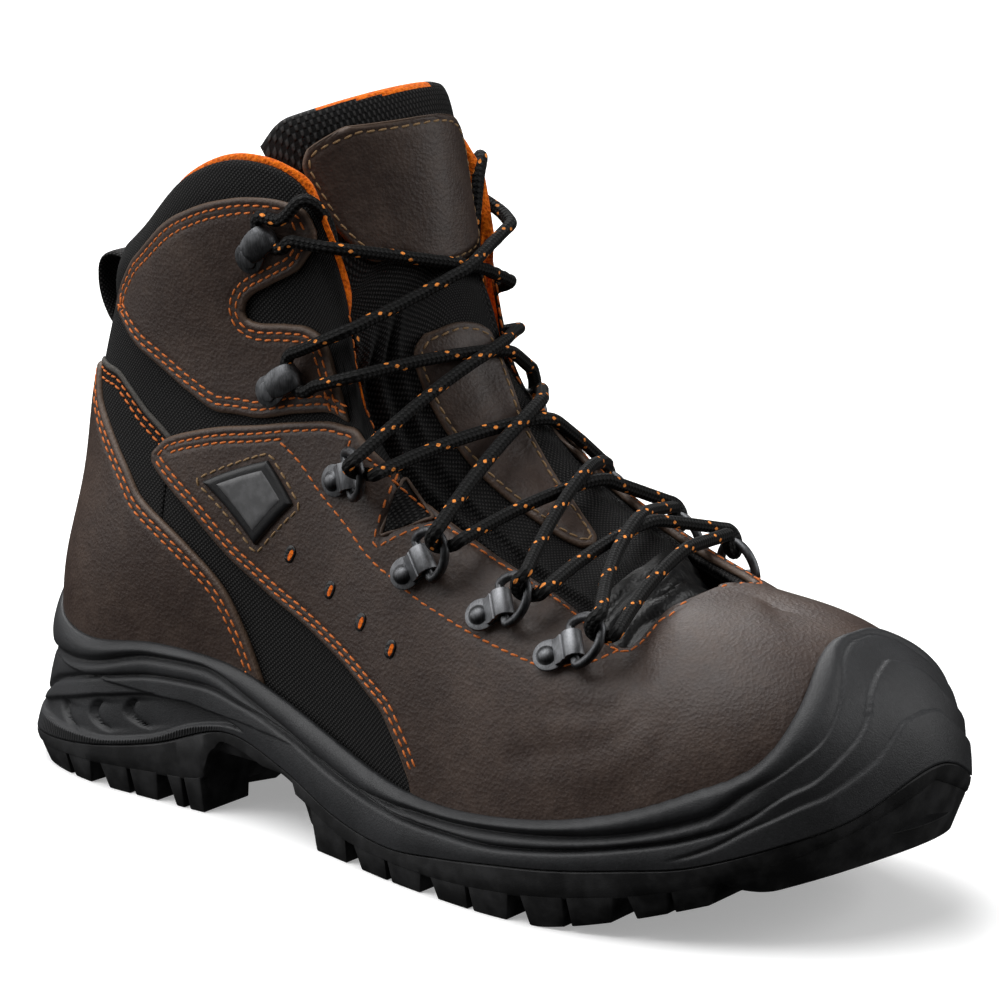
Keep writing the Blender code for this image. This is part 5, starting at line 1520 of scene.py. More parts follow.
class BOOT_OT_midsole(bpy.types.Operator):
    """Moulded midsole with its bead, grooves, heel recess and toe plates"""
    bl_idname = "boot.midsole"
    bl_label = "Midsole"

    def execute(self, context):
        t, arc = sole_columns(SOLE_STEP)
        lip, seam, row = sole_lines(t)
        n = len(t)
        rings = [wall(t, np.full(n, -JOIN_GAP), np.full(n, CUP_GAP))]
        for share in (0.3, 0.6, 0.85):
            rings.append(wall(t, lip * share, np.full(n, CUP_GAP)))
        rings.append(wall(t, np.maximum(lip - 3.0, lip * 0.9), np.full(n, CUP_GAP)))
        rings.append(wall(t, lip - 0.4, np.full(n, 2.05)))
        w = np.linspace(1, 0, WALL_ROWS)
        relief = sole_relief(t, arc, w, lip - seam)
        for k, share in enumerate(w):
            bow = row[:, 4] * (1 - share) * (1 - 2 * share) + 4 * row[:, 3] * share * (1 - share)
            bow = bow + row[:, 2] * share * (2 * share - 1)
            rings.append(wall(t, seam + (lip - seam) * share, np.maximum(bow + relief[:, k], 1.2)))
        before = len(rings) - WALL_ROWS
        rings += [wall(t, seam, row[:, 4] - SHELF), shelf(t, row, 0.0)]
        # The serration share goes into the edge attribute; the midsole finish turns it into relief and into painted
        # shade.
        mask = np.zeros((len(rings), n))
        mask[before:before + WALL_ROWS] = serrated(t, w, lip - seam).T
        run = np.stack(np.broadcast_arrays(arc[None, :], np.arange(len(rings))[:, None] * 1.0), -1)
        body = ring_stack("midsole_wall", rings, ("foam",), run.reshape(-1, 2), mask.ravel())
        settle(body, "midsole", "midsole")
        return {"FINISHED"}


# Lower edge of the outsole's side band, as column and height.
BAND_LOW = ((0, 5.4), (1.0, 5.8), (1.9, 6.8), (2.4, 7.6), (2.97, 8.6), (3.5, 9.8), (3.66, 11), (3.78, 17.5), (3.97, 23.5),
            (4.63, 20), (5.37, 14), (6.3, 7.0), (7.7, 6.0), (9.2, 7.8), (10.73, 12), (12.2, 18.5), (13.13, 25), (14.17, 34), (15.0, 43.5))
# Gaps between the lugs round the rim: column and width of each.
HEEL_GAPS = ((0.12, 2.0), (0.55, 1.0), (1.07, 3.6), (1.77, 1.0), (2.23, 3.6), (2.67, 1.0), (3.13, 3.6), (3.4, 1.0), (3.66, 1.0))
FORE_GAPS = ((5.5, 1.0), (6.27, 3.6), (7.0, 1.0), (7.8, 3.6), (8.6, 1.0), (9.4, 3.6), (10.17, 1.0), (11.0, 3.6), (11.73, 1.0),
             (12.35, 1.0))
LUG_DEPTH = 0.25
LUG_TAPER = 0.9
LUG_LEAN = 0.5
LUG_NOTCH = 3.0
LUG_BEVEL = 0.45
LUG_STEPS = 7
MIDDLE_LUGS = ((20, 9), (36, 9), (52, 9), (68, 9), (138, 10), (156, 10), (174, 10), (192, 10), (210, 10), (228, 10), (246, 10))
MIDDLE_LUG_HALF = 0.21
MIDDLE_LUG_SWEEP = 6


def lug_prism(low, high):
    n = len(low)
    faces = [list(range(n))[::-1], list(range(n, 2 * n))]
    faces += [[i, (i + 1) % n, n + (i + 1) % n, n + i] for i in range(n)]
    return np.concatenate([low, high]), faces


def under(t, share, z):
    """Point under the sole between an outer column and its twin."""
    a, b = feather(t)[0], feather(COLUMNS - t)[0]
    point = a + (b - a) * np.asarray(share, float)[..., None]
    point[..., 2] = z
    return point


class BOOT_OT_outsole(bpy.types.Operator):
    """Rubber outsole with its side band and lugs"""
    bl_idname = "boot.outsole"
    bl_label = "Outsole"

    def execute(self, context):
        body = self.make_body()
        lugs = self.make_lugs()
        apply_modifier(lugs, "BEVEL", width=LUG_BEVEL * MM, segments=2, limit_method="ANGLE", angle_limit=math.radians(40))
        obj = joined("outsole_tread", [body, lugs])
        choose(obj)
        bpy.ops.object.shade_smooth_by_angle(angle=math.radians(35))
        settle(obj, "rubber", "outsole")
        return {"FINISHED"}

    def make_body(self):
        t, arc = sole_columns(SOLE_STEP)
        lip, seam, row = sole_lines(t)
        base, level = feather(t)
        twin = np.minimum(t, COLUMNS - t)
        shelf_z = np.minimum(row[:, 1], base[:, 2] - MIDSOLE_FLOOR)
        bottom = np.minimum(body_bottom(base[:, 0]), shelf_z - ARCH_SKIN)
        edge = wall(t, seam, row[:, 4])
        edge[:, 2] -= JOIN_GAP
        first = shelf(t, row, JOIN_GAP)
        inner = wall(t, seam, row[:, 4] - SHELF)
        inner[:, 2] -= JOIN_GAP
        rings = [first, inner]
        band_z = np.clip(along(BAND_LOW, twin), bottom + 0.3, edge[:, 2] - 0.6)
        arched = smooth_step(base[:, 0], BREAST_X - 6, BREAST_X + 2) * (1 - smooth_step(base[:, 0], ARCH_END_X - 2, ARCH_END_X + 6))
        notch = LUG_NOTCH * (1 - smooth_step(twin, 12.3, 12.8)) * (1 - 0.6 * arched)
        tall = edge[:, 2] - band_z
        for share, out in ((0.0, -0.5), (0.06, 0.0), (0.5, 0.25), (0.9, 0.1), (1.0, -0.35)):
            ring = base + level * (row[:, 4] + (row[:, 5] - row[:, 4]) * 0.25 * share + out)[:, None]
            ring[:, 2] = edge[:, 2] - tall * share
            rings.append(ring)
        for share in (0.06, 0.5, 0.9, 1.0):
            ring = base + level * (row[:, 4] + (row[:, 5] - row[:, 4]) * (0.25 + 0.75 * share) - notch - 0.3)[:, None]
            ring[:, 2] = band_z - 0.2 + (bottom - band_z + 0.2) * share
            rings.append(ring)
        inset = base + level * (row[:, 5] - notch - 1.5)[:, None]
        inset[:, 2] = bottom
        rings.append(inset)
        return ring_stack("outsole_body", rings, ("tread_rubber",))

    def make_lugs(self):
        points, faces, count = [], [], 0
        blocks = []
        for gaps in (HEEL_GAPS, FORE_GAPS):
            for (t0, wide0), (t1, wide1) in zip(gaps[:-1], gaps[1:]):
                size = np.linalg.norm(feather(t1)[0] - feather(t0)[0]) / (t1 - t0)
                for inner in (False, True):
                    blocks.append(self.edge_lug((t0, wide0 / size), (t1, wide1 / size), inner))
        blocks += [self.middle_lug(x, run) for x, run in MIDDLE_LUGS]
        for block_points, block_faces in blocks:
            points.append(block_points)
            faces += [[i + count for i in f] for f in block_faces]
            count += len(block_points)
        return mesh_piece("lugs", np.concatenate(points), faces, ("tread_rubber",))

    def edge_lug(self, start, end, inner):
        """Lug between two gaps, whose ends lean apart towards the ground."""
        loops = []
        for low in (True, False):
            lean = 0.5 + LUG_LEAN if low else 0.5
            t = np.linspace(start[0] + start[1] * lean, end[0] - end[1] * lean, LUG_STEPS)
            row = spline(SOLE_ROWS, t)
            base, level = feather(COLUMNS - t if inner else t)
            ground = spring(base[:, 0])
            behind = under(t, np.full(LUG_STEPS, 1 - LUG_DEPTH if inner else LUG_DEPTH), body_bottom(base[:, 0]) + 1.6)
            if low:
                edge = base + level * (row[:, 5] - LUG_TAPER)[:, None]
                edge[:, 2] = behind[:, 2] = ground
            else:
                edge = base + level * (row[:, 4] * 0.8 + row[:, 5] * 0.2)[:, None]
                edge[:, 2] = np.maximum(along(BAND_LOW, t), ground + 2.0) + 0.6
            loops.append(np.concatenate([edge, behind[::-1]]))
        return lug_prism(*loops)

    def middle_lug(self, x0, run):
        half = np.linspace(0, TOE, 301)
        xs = feather(half)[0][:, 0]
        loops = []
        for grow, top in ((0.0, False), (0.5, True)):
            loop = []
            for x, shares in ((x0 - grow, (-1, 0, 1)), (x0 + run + grow, (1, 0, -1))):
                for share in shares:
                    px = x + MIDDLE_LUG_SWEEP * (1 - abs(share))
                    t = np.array([np.interp(px, xs, half)])
                    z = body_bottom(px) + 1.6 if top else spring(px)
                    loop.append(under(t, np.array([0.5 + share * MIDDLE_LUG_HALF]), z)[0])
            loops.append(np.array(loop))
        return lug_prism(*loops)


class BOOT_OT_insole(bpy.types.Operator):
    """Loose cupped insole"""
    bl_idname = "boot.insole"
    bl_label = "Insole"

    def execute(self, context):
        t = sole_columns(4.0)[0]
        base, level = feather(t)
        inset = -(UPPER_WALL + INSOLE_SIDE_GAP) - 0.6
        twin = feather(COLUMNS - t)[0]
        rings = []
        for share, z in ((0.0, JOIN_GAP), (0.0, INSOLE_THICK - 0.6), (0.012, INSOLE_THICK), (0.06, INSOLE_THICK - 0.1),
                         (0.15, INSOLE_THICK - 0.9), (0.3, INSOLE_THICK - 1.3), (0.45, INSOLE_THICK - 1.4)):
            ring = base + level * inset
            ring = ring + (twin - ring) * share
            ring[:, 2] = base[:, 2] + z
            rings.append(ring)
        settle(ring_stack("insole_cover", rings, ("sock_cover",)), "insole", "insole")
        return {"FINISHED"}


def plate_frame(t, h, turn, seat, flip):
    """Seat of a lace fitting: its point, the direction to the throat, its width direction and outward."""
    side = COLUMNS - t if flip else t
    point = on_last(side, h)
    normal = last_normal(side, h)
    up = unit(on_last(side, h + 0.03) - on_last(side, h - 0.03))
    forward = unit(on_last(side + 0.1, h) - on_last(side - 0.1, h)) * (-1 if flip else 1)
    line = up * math.cos(turn) + forward * math.sin(turn)
    line = unit(line - normal * np.dot(line, normal))
    return point + normal * (SKIN_GAP + LEATHER + seat), line, np.cross(normal, line), normal


def placed(seat, local):
    origin, line, width, normal = seat
    local = np.asarray(local, float)
    return origin + local[..., 0:1] * line + local[..., 1:2] * width + local[..., 2:3] * normal


def ring_seats(flip):
    """Seats of the four clips on one side."""
    return [plate_frame(t, h, turn, seat, flip) for name, t, h, turn, seat in (INNER_RINGS if flip else RINGS)]


def hook_seats(flip):
    return [plate_frame(t, h, turn, seat, flip) for name, t, h, turn, seat in HOOKS]


def seat_matrix(seat):
    origin, line, width, normal = seat
    matrix = Matrix.Identity(4)
    for k, axis in enumerate((line, width, normal)):
        for r in range(3):
            matrix[r][k] = axis[r]
    matrix.translation = Vector(world(origin))
    return matrix


def bent_strip(line, thickness, widths, ridge=0.0):
    """Sheet-metal strip along a bent line of x and z, with a width at each point and a ridge, in its own axes."""
    line = np.asarray(line, float)
    run = unit(np.gradient(line, axis=0))
    side = np.stack([-run[:, 1], run[:, 0]], 1)
    widths = np.broadcast_to(np.asarray(widths, float), (len(line),))
    rings = []
    for p, q, wide in zip(line, side, widths):
        a, b = p + q * thickness / 2, p - q * thickness / 2
        c = b - q * ridge
        rings.append([(a[0], -wide / 2, a[1]), (a[0], wide / 2, a[1]), (b[0], wide / 2, b[1]), (c[0], 0.0, c[1]),
                      (b[0], -wide / 2, b[1])])
    points = np.array(rings).reshape(-1, 3)
    count = len(rings[0])
    faces = grid_faces(len(line), count, True).tolist()
    faces += [list(range(count))[::-1], [len(points) - count + i for i in range(count)]]
    return points, faces


def sweep(path, radius, sides, closed=False, flat=1.0):
    """Round wire along a path; returns points, faces and the coordinates along and round it."""
    path = np.asarray(path, float)
    run = unit(np.roll(path, -1, 0) - np.roll(path, 1, 0)) if closed else unit(np.gradient(path, axis=0))
    turn = np.linspace(0, 2 * np.pi, sides, endpoint=False)
    side = np.cross(run[0], (0.31, 0.17, 0.94))
    rings = []
    for point, direction in zip(path, run):
        side = side - direction * np.dot(side, direction)
        side = side / np.linalg.norm(side)
        other = np.cross(direction, side)
        rings.append(point + radius * (np.cos(turn)[:, None] * side + flat * np.sin(turn)[:, None] * other))
    n = len(path)
    faces = grid_faces(n, sides, True).tolist()
    if closed:
        shift = int(np.argmin(np.linalg.norm(rings[0] - rings[-1][0], axis=1)))
        faces += [[(n - 1) * sides + i, (n - 1) * sides + (i + 1) % sides, (i + 1 + shift) % sides, (i + shift) % sides]
                  for i in range(sides)]
    else:
        faces += [list(range(sides))[::-1], list(range((n - 1) * sides, n * sides))]
    return np.concatenate(rings), faces


def local_mesh(name, points, faces, finish_name):
    return mesh_piece(name, np.asarray(points, float) + ORIGIN, faces, (finish_name,))


def rounded(obj, width, segments=2):
    apply_modifier(obj, "BEVEL", width=width * MM, segments=segments, limit_method="ANGLE", angle_limit=math.radians(30))
    choose(obj)
    bpy.ops.object.shade_smooth_by_angle(angle=math.radians(40))
    return obj


def plate_disc(name, radius, centre, nose, thick, finish_name):
    """Flat plate, round behind and drawn out to a nose, from a filled circle."""
    deselect()
    bpy.ops.mesh.primitive_circle_add(vertices=48, radius=radius * MM, fill_type="NGON", location=(0, 0, 0))
    obj = bpy.context.object
    obj.name = name
    for v in obj.data.vertices:
        x, y = v.co.x / MM, v.co.y / MM
        if x > 0:
            x, y = x * nose / radius, y * (1 - 0.16 * (x / radius) ** 2)
        v.co = ((x + centre) * MM, y * MM, 0)
    bpy.ops.object.mode_set(mode="EDIT")
    bpy.ops.mesh.select_all(action="SELECT")
    bpy.ops.mesh.extrude_region_move(TRANSFORM_OT_translate={"value": (0, 0, thick * MM)})
    bpy.ops.mesh.select_all(action="SELECT")
    bpy.ops.mesh.normals_make_consistent(inside=False)
    bpy.ops.object.mode_set(mode="OBJECT")
    obj.data.materials.append(finish(finish_name))
    return rounded(obj, 0.3)


def dome(name, radius, rise, centre, base, finish_name):
    """Low rivet head, a flattened ball with a collar under it."""
    deselect()
    bpy.ops.mesh.primitive_uv_sphere_add(segments=28, ring_count=14, radius=radius * MM, location=(0, 0, 0))
    obj = bpy.context.object
    obj.name = name
    for v in obj.data.vertices:
        z = max(v.co.z / MM, -radius * 0.3) * rise / radius
        flare = 1.18 if v.co.z < radius * MM * 0.12 else 1.0
        v.co = (v.co.x * flare + centre * MM, v.co.y * flare, (z + base) * MM)
    obj.data.materials.append(finish(finish_name))
    face_outward(obj, 1e-7)
    choose(obj)
    bpy.ops.object.shade_smooth_by_angle(angle=math.radians(50))
    return obj


def ring_point(reach, across, lift=0.0, tilt=RING_TILT):
    """Point of a D ring's own plane in the fitting's axes, raised off that plane by lift."""
    x = reach * math.cos(tilt) - lift * math.sin(tilt)
    z = reach * math.sin(tilt) + lift * math.cos(tilt)
    return np.array([PLATE_FRONT + x, across, PLATE_THICK / 2 + CURL_RADIUS + z])


def ring_line(tilt):
    """Centre line of a D ring in the fitting's axes."""
    turn = np.radians(np.linspace(0, 180, 33))
    line = [(2.5 + (RING_REACH - 2.5) * math.sin(a), RING_HALF * math.cos(a)) for a in turn]
    line += [(0.7, -RING_HALF + 0.15)] + [(0, y) for y in np.linspace(-RING_HALF + 0.9, RING_HALF - 0.9, 9)]
    line += [(0.7, RING_HALF - 0.15)]
    return np.array([ring_point(reach, across, 0.0, tilt) for reach, across in line])


class BOOT_OT_fittings(bpy.types.Operator):
    """Clips with D rings and lace hooks on both sides"""
    bl_idname = "boot.fittings"
    bl_label = "Lace fittings"

    def execute(self, context):
        clip, hook = self.model_clip(), self.model_hook()
        for side, flip in (("outer", False), ("inner", True)):
            ring = self.model_ring(INNER_RING_TILT if flip else RING_TILT)
            for number, seat in enumerate(ring_seats(flip), 1):
                where = seat_matrix(seat)
                self.copy(clip, "%s_lace_clip_%d" % (side, number), where, "%s_clip_%d" % (side, number))
                self.copy(ring, "%s_d_ring_%d" % (side, number), where, "%s_ring_%d" % (side, number))
            for number, seat in enumerate(hook_seats(flip), 1):
                self.copy(hook, "%s_lace_hook_%d" % (side, number), seat_matrix(seat), "%s_hook_%d" % (side, number))
            bpy.data.objects.remove(ring)
        for model in (clip, hook):
            bpy.data.objects.remove(model)
        return {"FINISHED"}

    def copy(self, model, name, where, node):
        mesh = model.data.copy()
        mesh.name = name
        mesh.transform(where)
        obj = bpy.data.objects.new(name, mesh)
        bpy.context.scene.collection.objects.link(obj)
        settle(obj, "metal", node)

    def model_clip(self):
        plate = plate_disc("clip_plate", 4.6, -2.9, 6.4, PLATE_THICK, "clip_metal")
        head = dome("clip_head", 2.4, 1.6, -3.6, PLATE_THICK + 0.15, "clip_metal")
        centre = (PLATE_FRONT, PLATE_THICK / 2 + CURL_RADIUS)
        turn = np.radians(np.linspace(-90, 175, 22))
        curl = np.column_stack([centre[0] + CURL_RADIUS * np.cos(turn), centre[1] + CURL_RADIUS * np.sin(turn)])
        foot = np.array([(-1.2, PLATE_THICK + 0.35), (0.4, PLATE_THICK + 1.2), (1.6, PLATE_THICK + 2.6)])
        line = np.concatenate([[(-4.0, PLATE_THICK / 2), (0.5, PLATE_THICK / 2)], curl, foot[::-1]])
        strap = local_mesh("clip_strap", *bent_strip(line, 0.9, 7.4), "strap_metal")
        return joined("clip_model", [plate, head, rounded(strap, 0.25)])

    def model_ring(self, tilt):
        points, faces = sweep(ring_line(tilt), WIRE, 14, True)
        return local_mesh("ring_model", points, faces, "ring_metal")

    def model_hook(self):
        plate = plate_disc("hook_plate", 4.5, -5.8, 7.4, PLATE_THICK, "ring_metal")
        head = plate_disc("hook_head", 2.9, -5.8, 2.9, PLATE_THICK + 0.45, "clip_metal")
        middle = PLATE_THICK / 2 + HOOK_RISE
        turn = np.radians(np.linspace(-90, 90, 15))
        bend = np.column_stack([PLATE_FRONT + HOOK_RISE * np.cos(turn), middle + HOOK_RISE * np.sin(turn)])
        line = np.concatenate([[(-2.0, PLATE_THICK / 2)], bend, [(2.6, middle + HOOK_RISE), (0.6, middle + HOOK_RISE), (-1.4, middle + HOOK_RISE + 0.3)]])
        widths = np.concatenate([[6.5], np.linspace(7.0, HOOK_BODY, 15), [HOOK_BODY, 7.6, 6.2]])
        body = local_mesh("hook_body", *bent_strip(line, 1.1, widths, HOOK_RIDGE), "ring_metal")
        return joined("hook_model", [plate, head, rounded(body, 0.35)])


LACE_CLEAR = 4.0
LACE_OVER_TONGUE = 4.1
LACE_CROSS = 3.2
CROSS_HALF = 9.0
TAUT_STEP = 3.0
TAUT_ROUNDS = 120
LACE_SIDES = 14
LACE_STEP = 0.9
STRAND_APART = 1.7


def catmull(knots, step):
    """Smooth path through knots, its points a fixed distance apart."""
    k = np.asarray(knots, float)
    k = np.concatenate([[2 * k[0] - k[1]], k, [2 * k[-1] - k[-2]]])
    out = []
    for a, b, c, d in zip(k[:-3], k[1:-2], k[2:-1], k[3:]):
        ta = max(np.linalg.norm(b - a), 1e-6) ** 0.5
        tb = ta + max(np.linalg.norm(c - b), 1e-6) ** 0.5
        tc = tb + max(np.linalg.norm(d - c), 1e-6) ** 0.5
        t = np.linspace(ta, tb, 24, endpoint=False)[:, None]
        ab, bc, cd = (ta - t) / ta * a + t / ta * b, (tb - t) / (tb - ta) * b + (t - ta) / (tb - ta) * c, \
            (tc - t) / (tc - tb) * c + (t - tb) / (tc - tb) * d
        abc, bcd = (tb - t) / tb * ab + t / tb * bc, (tc - t) / (tc - ta) * bc + (t - ta) / (tc - ta) * cd
        out.append((tb - t) / (tb - ta) * abc + (t - ta) / (tb - ta) * bcd)
    path = np.concatenate(out + [k[-2:-1]])
    s = np.concatenate([[0], np.cumsum(np.linalg.norm(np.diff(path, axis=0), axis=1))])
    at = np.linspace(0, s[-1], int(s[-1] / step) + 1)
    return np.column_stack([np.interp(at, s, path[:, i]) for i in range(3)])


class Keeper:
    """Pushes lace points off a surface where they would lie too close to it."""

    def __init__(self, points, normals, clear):
        self.points, self.normals, self.clear = points, normals, clear
        self.tree = KDTree(len(points))
        for i, p in enumerate(points):
            self.tree.insert(p, i)
        self.tree.balance()

    def held(self, point, extra=0.0):
        near = self.tree.find(point)[1]
        away = point - self.points[near]
        depth = np.dot(away, self.normals[near])
        clear = self.clear[near] + extra
        if depth >= clear or np.linalg.norm(away) > 2.2 * clear:
            return point
        return point + self.normals[near] * (clear - depth)


class BOOT_OT_lace(bpy.types.Operator):
    """One lace from a front bar up through rings and hooks, its ends tucked behind the collar"""
    bl_idname = "boot.lace"
    bl_label = "Lace"

    def execute(self, context):
        radius = millimetres("lace") / 2
        path = self.route()
        points, faces = sweep(path, radius, LACE_SIDES, False, 0.9)
        run = np.concatenate([[0], np.cumsum(np.linalg.norm(np.diff(path, axis=0), axis=1))])
        turn = np.arange(LACE_SIDES) / LACE_SIDES
        uv = np.stack(np.broadcast_arrays(run[:, None], turn[None, :]), -1).reshape(-1, 2)
        obj = mesh_piece("boot_lace", points, faces, ("braid",))
        self.wrap(obj, uv)
        nodes = ["lace_bar"] + ["lace_cross_%d" % k for k in range(1, len(LACE_STATIONS))]
        settle(obj, "lace", *nodes)
        return {"FINISHED"}

    def wrap(self, obj, uv):
        """Coordinates along and round the lace, closed where the round starts again."""
        mesh = obj.data
        layer = mesh.uv_layers.new(name=UV_NAME)
        for face in mesh.polygons:
            corners = [uv[mesh.loops[k].vertex_index].copy() for k in face.loop_indices]
            if max(c[1] for c in corners) - min(c[1] for c in corners) > 0.5 and len(corners) == 4:
                for c in corners:
                    c[1] += 1.0 if c[1] < 0.5 else 0.0
            for k, c in zip(face.loop_indices, corners):
                layer.data[k].uv = c / UV_SCALE

    def seats(self, flip):
        return ring_seats(flip) + hook_seats(flip)

    def through(self, seat, number, flip):
        """Knots of the lace through one fitting, from the strand below to the strand above."""
        toe = 1 if flip else -1
        y = toe * STRAND_APART
        radius = millimetres("lace") / 2
        if number < len(RINGS):
            tilt = INNER_RING_TILT if flip else RING_TILT
            turn = WIRE + radius + 0.1
            local = [ring_point(RING_REACH + 3.0, y * 1.3, -turn * 0.75, tilt), ring_point(RING_REACH, y, -turn, tilt),
                     ring_point(RING_REACH - turn, y * 0.2, 0.0, tilt), ring_point(RING_REACH, -y * 0.8, turn, tilt),
                     ring_point(RING_REACH + 3.0, -y * 1.3, turn * 0.8, tilt)]
        else:
            half = HOOK_BODY / 2
            middle = PLATE_THICK / 2 + HOOK_RISE
            ends = [(7.0, half + 1.2), (3.6, half + 1.7), (0.9, half * 0.85)]
            local = [(PLATE_FRONT + x, toe * y, middle) for x, y in ends] + [(PLATE_FRONT + 0.1, 0, middle)]
            last = number == len(RINGS) + len(HOOKS) - 1
            local += [(PLATE_FRONT + x, -toe * y, middle) for x, y in ends[:0 if last else None:-1]]
        return [placed(seat, p) for p in local]

    def crossing(self, start, end, s0, s1, lift, outward):
        """Points of a strand pulled tight over the tongue from one side's fitting to the other's."""
        u = np.array([-0.3, 0.0, 0.3])
        if not outward:
            u = u[::-1]
        s = s0 + (s1 - s0) * (np.linspace(0, 1, 5)[1:-1])
        crown = tongue(s, u) + tongue_normal(s, u) * LACE_OVER_TONGUE
        path = catmull(np.concatenate([[start], crown, [end]]), TAUT_STEP)
        at = np.linspace(-0.5, 0.5, len(path)) * len(path) * TAUT_STEP
        extra = lift * np.exp(-(at / CROSS_HALF) ** 2)
        for _ in range(TAUT_ROUNDS):
            path[1:-1] = (path[:-2] + path[2:]) / 2
            for i in range(1, len(path) - 1):
                path[i] = self.pad.held(self.face.held(path[i]), extra[i])
        return list(path[1:-1])

    def lay_ground(self):
        """What the strands rest on: the leather and the tongue."""
        t, h = np.meshgrid(np.linspace(3, 27, 321), np.linspace(0.45, 1.0, 61), indexing="ij")
        face = on_last(t, h).reshape(-1, 3)
        self.face = Keeper(face, last_normal(t, h).reshape(-1, 3), np.full(len(face), LACE_CLEAR))
        s, u = np.meshgrid(np.linspace(0.5, 13, 160), np.linspace(-0.75, 0.75, 61), indexing="ij")
        pad = on_pad(s, u).reshape(-1, 3)
        self.pad = Keeper(pad, tongue_normal(s, u).reshape(-1, 3), np.full(len(pad), LACE_OVER_TONGUE))

    def route(self):
        self.lay_ground()
        outer, inner = self.seats(False), self.seats(True)
        count = len(outer)
        halves = []
        for start in (0, 1):
            knots = []
            for k in range(count):
                flip = (k + start) % 2 == 1
                seat = (inner if flip else outer)[k]
                eye = self.through(seat, k, flip)
                if k:
                    knots += self.crossing(knots[-1], eye[0], LACE_STATIONS[k - 1], LACE_STATIONS[k],
                                           LACE_CROSS if flip else 0.0, flip)
                knots += eye
            knots += self.tuck(seat, flip)
            halves.append(knots)
        bar = self.crossing(halves[0][0], halves[1][0], LACE_BAR_STATION, LACE_BAR_STATION, 0.0, True)
        path = catmull(halves[0][::-1] + bar + halves[1], LACE_STEP)
        for _ in range(3):
            path[1:-1] = 0.25 * path[:-2] + 0.5 * path[1:-1] + 0.25 * path[2:]
        return path

    def tuck(self, seat, flip):
        """The end goes over the collar's edge and down between collar and tongue."""
        side = (lambda t: COLUMNS - t) if flip else (lambda t: t)
        knots = [on_last(side(4.75), 0.93, 4.8), on_last(side(5.1), 1.0, 3.6)]
        at = np.array([side(5.5)])
        knots += [rim(at, np.array([-1.5]), np.array([3.6]))[0], on_last(side(5.8), 0.95, -5.0), on_last(side(5.95), 0.86, -5.4)]
        return knots


def patch_grid(corners, cells, lift):
    """Grid over a four-cornered patch on the last."""
    a, b, c, d = (np.array(corner) for corner in corners)
    side = crowded(cells)
    p, q = np.meshgrid(side, side, indexing="ij")
    p, q = p[..., None], q[..., None]
    place = (a + (b - a) * p) * (1 - q) + (d + (c - d) * p) * q
    points = on_last(place[..., 0], place[..., 1])
    return points, unit(on_last(place[..., 0], place[..., 1], 1.0) - points)


# Vents: each is a dark oval of black leather, painted shadow for the slot's depth, under an orange mesh core that
# VENT_SHIFT moves sideways so the painted shadow shows along one side.
VENT_LONG = 2.7
VENT_WIDE = 1.8
VENT_SHIFT = 0.5
VENT_LEAN = 0.45


def oval_sheet(name, t, h, long, wide, lean, shift, lift, thick, finish_name, flip):
    """A small round-ended plate on the leather, moved sideways by shift."""
    turn = np.linspace(0, 2 * np.pi, 40, endpoint=False)
    share = np.array([0.0, 0.35, 0.7, 0.88, 0.97, 1.0])
    x = share[:, None] * (np.sign(np.cos(turn)) * np.abs(np.cos(turn)) ** 0.7) * long
    y = share[:, None] * (np.sign(np.sin(turn)) * np.abs(np.sin(turn)) ** 0.9) * wide + shift
    dx, dy = x * math.sin(lean) + y * math.cos(lean), x * math.cos(lean) - y * math.sin(lean)
    seat = plate_frame(t, h, 0.0, 0.0, flip)
    rise = thick * np.sqrt(np.clip(1 - share ** 6, 0, 1))[:, None]
    local = np.stack([dy, dx * (1 if flip else -1), np.broadcast_to(rise + lift, dx.shape)], -1)
    points = placed(seat, local).reshape(-1, 3)
    faces = grid_faces(len(share), len(turn), True).tolist()
    faces += [list(range((len(share) - 1) * len(turn), len(share) * len(turn)))]
    obj = mesh_piece(name, points, faces, (finish_name,))
    face_outward(obj, 1e-7)
    return obj


INLAY_SEAM = 1.45
WINDOW_BEAD = 0.5


